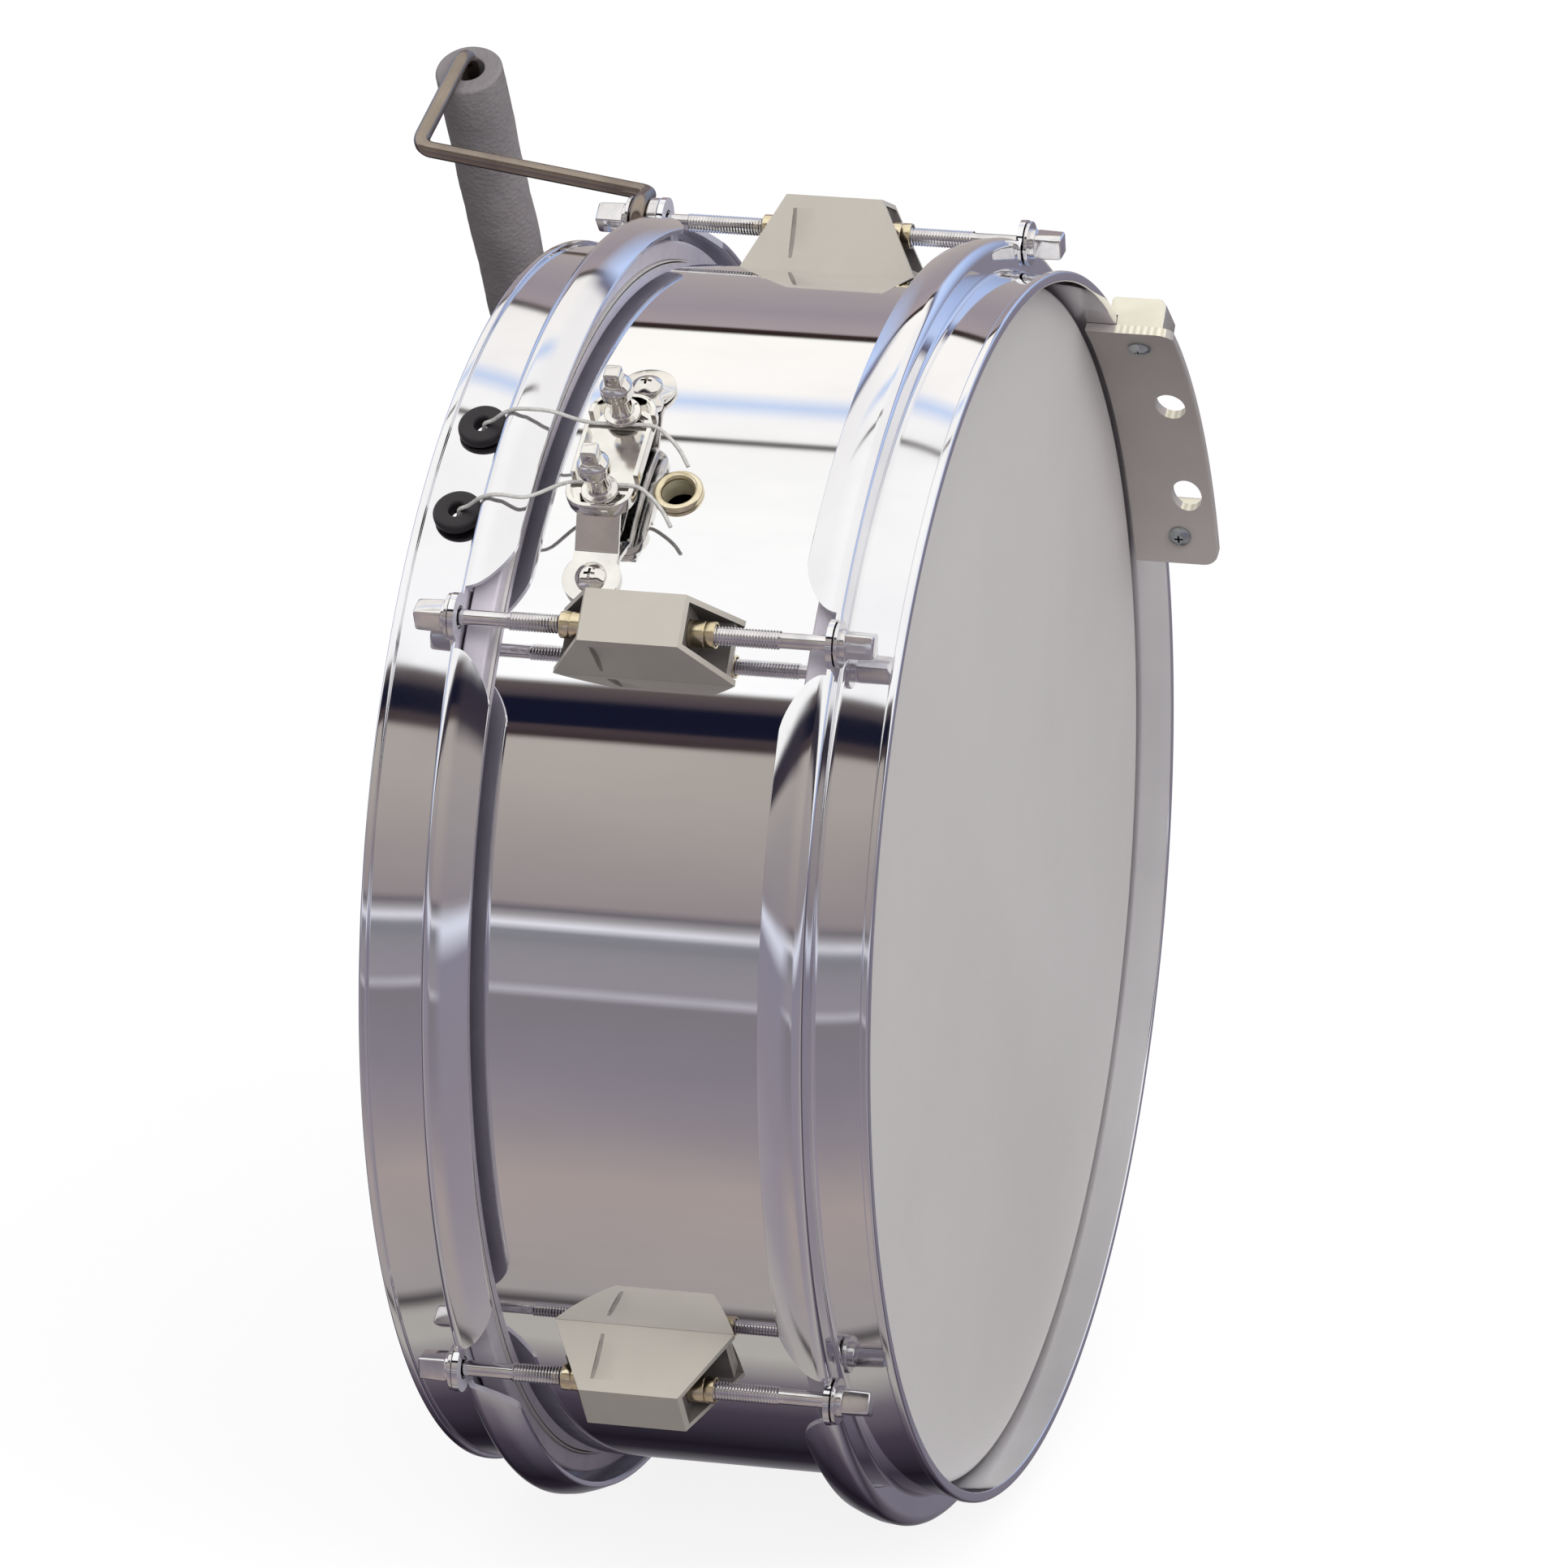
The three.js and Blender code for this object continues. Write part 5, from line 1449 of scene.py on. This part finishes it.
def strainer_route(side):
    """The cord passes between the two screws, and its free end leaves the tray sideways and droops."""
    across = side * (clamp_place - cord_offset)
    along = snare_face - strainer_place
    edge = tray_width / 2
    tail = [
        (along + edge, across, cord_height),
        (along, across, cord_height),
        (along - edge, across, cord_height),
        (along - edge - cord_tail / 3, across + cord_tail / 5, cord_height - cord_tail / 20),
        (along - edge - 2 * cord_tail / 3, across + cord_tail / 2, cord_height - cord_tail / 6),
        (along - edge - cord_tail * 0.9, across + cord_tail * 0.8, cord_height - cord_tail / 3),
    ]
    ending = [station_point(-strainer_turn, *point) for point in tail]
    return over_hoop(-snare_turn, side * cord_spread) + ending


def butt_route(side):
    across = side * cord_spread
    along = snare_face - strainer_place
    height = deck_top + seat_gap + cord_radius
    edge = strap_width / 2
    places = [along + edge, along, along - edge, along - edge - cord_tail / 3]
    ending = [station_point(-butt_turn, place, across, height) for place in places]
    return over_hoop(-butt_turn, across) + ending


def smoothed(route, steps=6):
    """An even curve through every point of a route."""
    ends = [2 * route[0] - route[1], *route, 2 * route[-1] - route[-2]]
    path = []
    for first, start, end, last in zip(ends, ends[1:], ends[2:], ends[3:]):
        knots = [0]
        for one, other in ((first, start), (start, end), (end, last)):
            knots.append(knots[-1] + max((other - one).length, 1e-6) ** 0.5)
        for step in range(steps):
            at = knots[1] + (knots[2] - knots[1]) * step / steps

            def between(one, other, low, high):
                return one.lerp(other, (at - low) / (high - low))

            near = between(first, start, knots[0], knots[1])
            mid = between(start, end, knots[1], knots[2])
            far = between(end, last, knots[2], knots[3])
            before = between(near, mid, knots[0], knots[2])
            after = between(mid, far, knots[1], knots[3])
            path.append(between(before, after, knots[1], knots[2]))
    path.append(route[-1])
    return path


def wire_along(name, path, radius, resolution):
    """Round cord or wire along a line of points."""
    curve = bpy.data.curves.new(name, "CURVE")
    curve.dimensions = "3D"
    curve.bevel_depth = radius
    curve.bevel_resolution = resolution
    curve.use_fill_caps = True
    spline = curve.splines.new("POLY")
    spline.points.add(len(path) - 1)
    for point, place in zip(spline.points, path):
        point.co = (*place, 1)
    thing = bpy.data.objects.new(name, curve)
    scene.collection.objects.link(thing)
    return thing


def make_cord(name, route):
    path = smoothed(route)
    cord = wire_along(f"{name}_line", path, cord_radius * mm, resolution=3)
    cord.data.materials.append(white_cord)
    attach(cord, "drum")
    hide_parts(name)


for name, side in (("upper", -1), ("lower", 1)):
    make_grommet(f"strainer_{name}", -snare_turn, side * cord_spread)
    make_grommet(f"butt_{name}", -butt_turn, side * cord_spread)
    make_cord(f"strainer_{name}_cord", strainer_route(side))
    make_cord(f"butt_{name}_cord", butt_route(side))


# Snares
# Sixteen wound steel wires side by side against the snare head, soldered into a plate at each end.

wire_count = 16
wire_radius = 0.8
wire_pitch = 2.4
wire_margin = 2
winding_depth = 0.35
winding_pitch = 1.5

snare_steel = finish("snare wire", "e2e1df", "c8c6c3", 1, 0.18, 0.3, 200, 900, 0.03)


def make_snares():
    reach = wire_half_length + wire_plate_length / 2
    strand = seat_gap + wire_radius
    half = (wire_count - 1) * wire_pitch / 2 + wire_radius + wire_margin
    parts = []
    for end in (-1, 1):
        far = sorted((end * wire_half_length, end * (wire_half_length + wire_plate_length)))
        plate = block((seat_gap, seat_gap + wire_plate_thickness), (-half, half), far)
        eased(plate, list(plate.edges), small_edge, segments=2)
        parts.append(plate)
    upright = Matrix.Rotation(-pi / 2, 4, "Y")
    coil = rolled_thread(-reach, reach, wire_radius, winding_depth, winding_pitch, sides=6)
    for wire in range(wire_count):
        across = (wire - (wire_count - 1) / 2) * wire_pitch
        parts.append(moved(coil.copy(), Matrix.Translation((strand, across, 0)) @ upright))
    coil.free()
    finish_piece(
        together(parts), "snare_strands", snare_steel, "bright_fittings", ["snare_wires"],
        snare_place(-snare_turn), crease=60,
    )


make_snares()


# Leg rest
# A bent wire bail, nickel plated, hooked round two tension rods, with a foam sleeve that turns loosely
# on its crossbar.

bail_hook_radius = 5.8
bail_hook_turns = (-150, 30)
bail_hook_bend = 3.2
bail_arm_height = 10.6
bail_bend = 5
bail_corner = (72.7, 17.1)
bail_crossbar = (66.8, 57.3)
bail_skew = 6.2
bail_turn = 36
rod_across = rod_circle * sin(radians(bail_turn))
rod_out = rod_circle * cos(radians(bail_turn))
sleeve_lean = atan2(bail_skew, rod_across)
sleeve_radius = 10.6
sleeve_bore_radius = 5
sleeve_edge = 1.2
foam_rows = 90
foam_waves = ((0.06, 0.35), (0.25, 0.12))
foam_skin = 2
foam_sink = 0.25

bail_nickel = finish("nickel wire", "a3978b", "8b7f76", 1, 0.16, 0.28, 50, 500, 0.05)


def rounded_path(points, radius, steps=8):
    """A line of points in space with its inner corners rounded."""
    path = [points[0]]
    for before, corner, after in zip(points, points[1:], points[2:]):
        back, ahead = (before - corner).normalized(), (after - corner).normalized()
        half = back.angle(ahead) / 2
        centre = corner + (back + ahead).normalized() * radius / sin(half)
        first = corner + back * radius / tan(half) - centre
        axis = ahead.cross(back)
        for step in range(steps + 1):
            turn = Matrix.Rotation((pi - 2 * half) * step / steps, 3, axis)
            path.append(centre + turn @ first)
    return path + [points[-1]]


def bail_half(side):
    """From the hook round one rod to the crossbar's middle. The bail is askew, so one side rises more."""

    def point(along, across, out):
        return Vector((along, side * (rod_across + across), rod_out + out))

    hook = []
    steps = 20
    start, end = (radians(turn) for turn in bail_hook_turns)
    for step in range(steps + 1):
        angle = start + (end - start) * step / steps
        hook.append(point(bail_level, bail_hook_radius * cos(angle), bail_hook_radius * sin(angle)))
    rise = point(bail_level, 0, bail_arm_height)
    corner = point(bail_corner[0], 0, bail_corner[1] + side * bail_skew)
    halfway = (rise + corner) / 2
    loop = [
        halfway,
        corner,
        point(bail_crossbar[0], 0, bail_crossbar[1] + side * bail_skew),
        Vector((bail_crossbar[0], 0, rod_out + bail_crossbar[1])),
    ]
    arm = rounded_path([hook[-1], rise, halfway], bail_hook_bend)
    return hook[:-1] + arm[:-1] + rounded_path(loop, bail_bend)[1:]


def wire_shape(path, radius):
    """Round wire along a line of points, with its ends capped flat."""
    thing = wire_along("wire", path, radius, resolution=6)
    curve = thing.data
    bpy.context.view_layer.update()
    mesh = bpy.data.meshes.new_from_object(thing.evaluated_get(bpy.context.evaluated_depsgraph_get()))
    shape = bmesh.new()
    shape.from_mesh(mesh)
    bpy.data.objects.remove(thing)
    bpy.data.curves.remove(curve)
    bpy.data.meshes.remove(mesh)
    bmesh.ops.remove_doubles(shape, verts=shape.verts, dist=2 * weld)
    bmesh.ops.recalc_face_normals(shape, faces=shape.faces)
    return shape


def make_bail():
    first, second = bail_half(-1), bail_half(1)
    path = first[:-1] + second[::-1][1:]
    shape = wire_shape(path, bail_wire_radius)
    finish_piece(shape, "leg_rest_wire", bail_nickel, "bail_wire", ["leg_rest_bail"], snare_place(bail_turn))


def grey_foam():
    """Closed-cell foam: tiny open pores where its skin was cut, over a cloudy skin."""
    material = finish("grey foam", "9a9496", "878284", 0, 0.86, 0.97, 35, 900, 0.3)
    tree = material.node_tree
    shader = tree.nodes["Principled BSDF"]
    shader.inputs["Specular IOR Level"].default_value = 0.2
    pores = node(tree, "ShaderNodeTexVoronoi", Scale=700.0)
    fed(tree, [pores.inputs["Vector"]], [tree.nodes["Texture Coordinate"].outputs["Object"]])
    pits = node(tree, "ShaderNodeBump", Strength=0.5, Distance=2 * bump_height)
    wanted = [pits.inputs["Height"], pits.inputs["Normal"]]
    fed(tree, wanted, [pores.outputs["Distance"], tree.nodes["Bump"].outputs[0]])
    fed(tree, [shader.inputs["Normal"]], [pits.outputs[0]])
    return material


def make_sleeve():
    half = rod_across - bail_bend - seat_gap
    rows = foam_rows
    outline = [(-half, sleeve_bore_radius, round_edge), (-half, sleeve_radius, sleeve_edge)]
    outline += [(-half + 2 * half * row / rows, sleeve_radius) for row in range(2, rows - 1)]
    outline += [(half, sleeve_radius, sleeve_edge), (half, sleeve_bore_radius, round_edge)]
    shape = turned(outline, 96)
    for corner in shape.verts:
        out = Vector((0, corner.co.y, corner.co.z))
        swell = sum(noise.noise(corner.co * fineness) * height for fineness, height in foam_waves)
        if out.length > sleeve_bore_radius + foam_skin:
            corner.co += out.normalized() * (swell - foam_sink)
    place = snare_place(bail_turn)
    down = place.to_3x3().inverted() @ Vector((0, 0, -1))
    bar_way = Vector((0, cos(sleeve_lean), sin(sleeve_lean)))
    down -= bar_way * down.dot(bar_way)
    centre = Vector((bail_crossbar[0], 0, rod_out + bail_crossbar[1]))
    centre += down.normalized() * (sleeve_bore_radius - bail_wire_radius - seat_gap)
    lengthwise = Matrix.Rotation(sleeve_lean, 4, "X") @ Matrix.Rotation(pi / 2, 4, "Z")
    place = place @ Matrix.Translation(centre) @ lengthwise
    name = "leg_rest_sleeve"
    sleeve = finish_piece(shape, "foam_sleeve", grey_foam(), "foam", [name], place, body=name, crease=50)


make_bail()
make_sleeve()


# Carrier
# A grey painted plate, rolled to the hoop's curve, stands inside the batter hoop with two holes for the
# sling. Its cut edges are bare. Two small blocks clamp the rim outside, and a cross-recessed screw pulls
# each to the plate.

carrier_turn = -34.25
carrier_half_width = 55.5
carrier_thickness = 3
carrier_reach = 28
carrier_seat = 1.5
carrier_corner = 5
carrier_edge = 0.7
sling_hole_radius = 4.7
sling_hole_stretch = 1.3
sling_hole_reach = 20
sling_hole_turns = (3.5, -9.7)
carrier_screw_turns = {"upper": 14.95, "lower": -14.95}
carrier_screw_reach = 16.4
carrier_screw_radius = 1.9
carrier_screw_end = 6.7
carrier_head_radius = 3.5
carrier_head_rim = 0.9
carrier_head_bend = 0.7
carrier_head_height = 2
carrier_head_top_radius = 1.6
carrier_head_dome = 1.2
block_turns = {"upper": 15.5, "lower": -15.5}
block_half_width = 7.5
block_height = 9.3
block_grip = 2.5
block_foot = rim_proud - block_grip
block_reach = 25
block_chamfer = 2
block_foot_edge = 1.2
edge_facing_share = 0.75
end_facing_share = 0.6


def grey_plate():
    """Grey paint, and bare sawn metal on the ends and in the holes beyond the rim. Inside the hoop the cut
    edges keep the grey as painted shade, and the end that faces away from the drum along its axis keeps the
    grey too.
    """
    material = finish("grey plate", "beb7b4", "b4adaa", 0.2, 0.46, 0.58, 14, 700, 0.1)
    tree = material.node_tree
    shader = tree.nodes["Principled BSDF"]
    place = tree.nodes["Texture Coordinate"]
    outward = node(tree, "ShaderNodeVectorMath", operation="MULTIPLY")
    fed(tree, outward.inputs, [place.outputs["Object"], (0, 1, 1)])
    unit = node(tree, "ShaderNodeVectorMath", operation="NORMALIZE")
    fed(tree, unit.inputs, [outward.outputs[0]])
    facing = node(tree, "ShaderNodeVectorMath", operation="DOT_PRODUCT")
    fed(tree, facing.inputs, [unit.outputs[0], place.outputs["Normal"]])
    sidelong = worked_out(tree, "ABSOLUTE", facing.outputs["Value"])
    facing_parts = node(tree, "ShaderNodeSeparateXYZ")
    fed(tree, facing_parts.inputs, [place.outputs["Normal"]])
    place_parts = node(tree, "ShaderNodeSeparateXYZ")
    fed(tree, place_parts.inputs, [place.outputs["Object"]])
    edges = worked_out(tree, "LESS_THAN", sidelong, edge_facing_share)
    endwise = worked_out(tree, "LESS_THAN", facing_parts.outputs["X"], end_facing_share)
    # Painted shade: inside the hoop the cut edges keep the grey paint, for the hoop's shadow on them.
    clear = worked_out(tree, "GREATER_THAN", place_parts.outputs["X"], rim_proud * mm)
    bare_where_lit = worked_out(tree, "MULTIPLY", edges, worked_out(tree, "MULTIPLY", endwise, clear))
    sawn = node(tree, "ShaderNodeTexWave", Scale=150.0, Distortion=1.5)
    fed(tree, [sawn.inputs["Vector"]], [place.outputs["Object"]])
    bare = mixed(tree, sawn.outputs["Fac"], paint("d9d2bf"), paint("fbf6e6"))
    colour = shader.inputs["Base Color"]
    painted = colour.links[0].from_socket
    fed(tree, [colour], [mixed(tree, bare_where_lit, painted, bare)])
    return material


block_metal = finish("pale casting", "f0eddd", "e7e3d3", 0.9, 0.2, 0.32, 45, 800, 0.05)
zinc = finish("zinc plate", "c2c8ca", "a8aeb0", 1, 0.16, 0.3, 120, 900, 0.06)


def make_plate():
    outer = hoop_inner_radius - touch_gap
    inner = outer - carrier_thickness
    ring = turned([
        (carrier_seat, inner, eased_edge),
        (carrier_seat, outer, eased_edge),
        (carrier_reach, outer, carrier_edge),
        (carrier_reach, inner, carrier_edge),
    ])
    low = inner * cos(asin(carrier_half_width / inner)) - cut_overrun
    high = outer + cut_overrun
    outline = softened([
        (carrier_seat - cut_overrun, -carrier_half_width),
        (carrier_reach + touch_gap, -carrier_half_width, carrier_corner),
        (carrier_reach + touch_gap, carrier_half_width, carrier_corner),
        (carrier_seat - cut_overrun, carrier_half_width),
    ])
    window = pressed([(along, across, low) for along, across in outline], (0, 0, high - low))
    about = Matrix.Rotation(radians(carrier_turn), 4, "X")
    shape = worked(ring, moved(window, about), "INTERSECT")
    holes = []
    for turn in sling_hole_turns:
        hole = moved(pin(low, high, sling_hole_radius), Matrix.Scale(sling_hole_stretch, 4, (0, 1, 0)))
        about = Matrix.Rotation(radians(carrier_turn + turn), 4, "X")
        holes.append(moved(hole, about @ Matrix.Translation((sling_hole_reach, 0, 0))))
    shape = cut(shape, holes)
    finish_piece(shape, "sling_plate", grey_plate(), "carrier_plate", ["carrier_plate"])


def make_block(name):
    high = hoop_inner_radius + block_height
    inner = hoop_inner_radius - cut_overrun
    outline = softened([
        (block_foot, inner),
        (block_reach, inner),
        (block_reach, high - block_chamfer, soft_edge),
        (block_reach - block_chamfer, high, soft_edge),
        (block_foot, high, block_foot_edge),
    ])
    body = pressed([(along, -block_half_width, out) for along, out in outline], (0, 2 * block_half_width, 0))
    eased(body, level_edges(body, 1), soft_edge, segments=2)
    moved(body, Matrix.Rotation(radians(carrier_turn + block_turns[name]), 4, "X"))
    wall = hoop_wall_radius + touch_gap
    under_bead = rim_proud - rim_bead - touch_gap
    hoop = turned([
        (block_foot - cut_overrun, 0),
        (block_foot - cut_overrun, wall),
        (under_bead, wall),
        (under_bead, rim_radius + touch_gap),
        (rim_proud + touch_gap, rim_radius + touch_gap),
        (rim_proud + touch_gap, hoop_inner_radius),
        (block_reach + cut_overrun, hoop_inner_radius),
        (block_reach + cut_overrun, 0),
    ])
    shape = cut(body, [hoop])
    finish_piece(shape, f"{name}_rim_block", block_metal, "carrier_block", [f"carrier_{name}_block"])


def make_carrier_screw(name):
    seat = hoop_inner_radius - touch_gap - carrier_thickness
    head = seat - carrier_head_height
    end = hoop_inner_radius + carrier_screw_end
    outline = [
        (head, 0),
        (head, carrier_head_top_radius, carrier_head_dome),
        (seat - carrier_head_rim, carrier_head_radius, carrier_head_bend),
        (seat, carrier_head_radius),
        (seat, carrier_screw_radius),
        (end, carrier_screw_radius, eased_edge),
        (end, 0),
    ]
    turned_over = Matrix.Translation((0, 0, head)) @ Matrix.Rotation(pi, 4, "X")
    recess = moved(cross_recess(0, carrier_head_height), turned_over)
    shape = cut(turned_out(outline), [recess])
    place = drum_place(carrier_turn + carrier_screw_turns[name], along=carrier_screw_reach)
    finish_piece(shape, f"{name}_plate_screw", zinc, "zinc_screw", [f"carrier_{name}_screw"], place)


make_plate()
for name in ("upper", "lower"):
    make_block(name)
    make_carrier_screw(name)
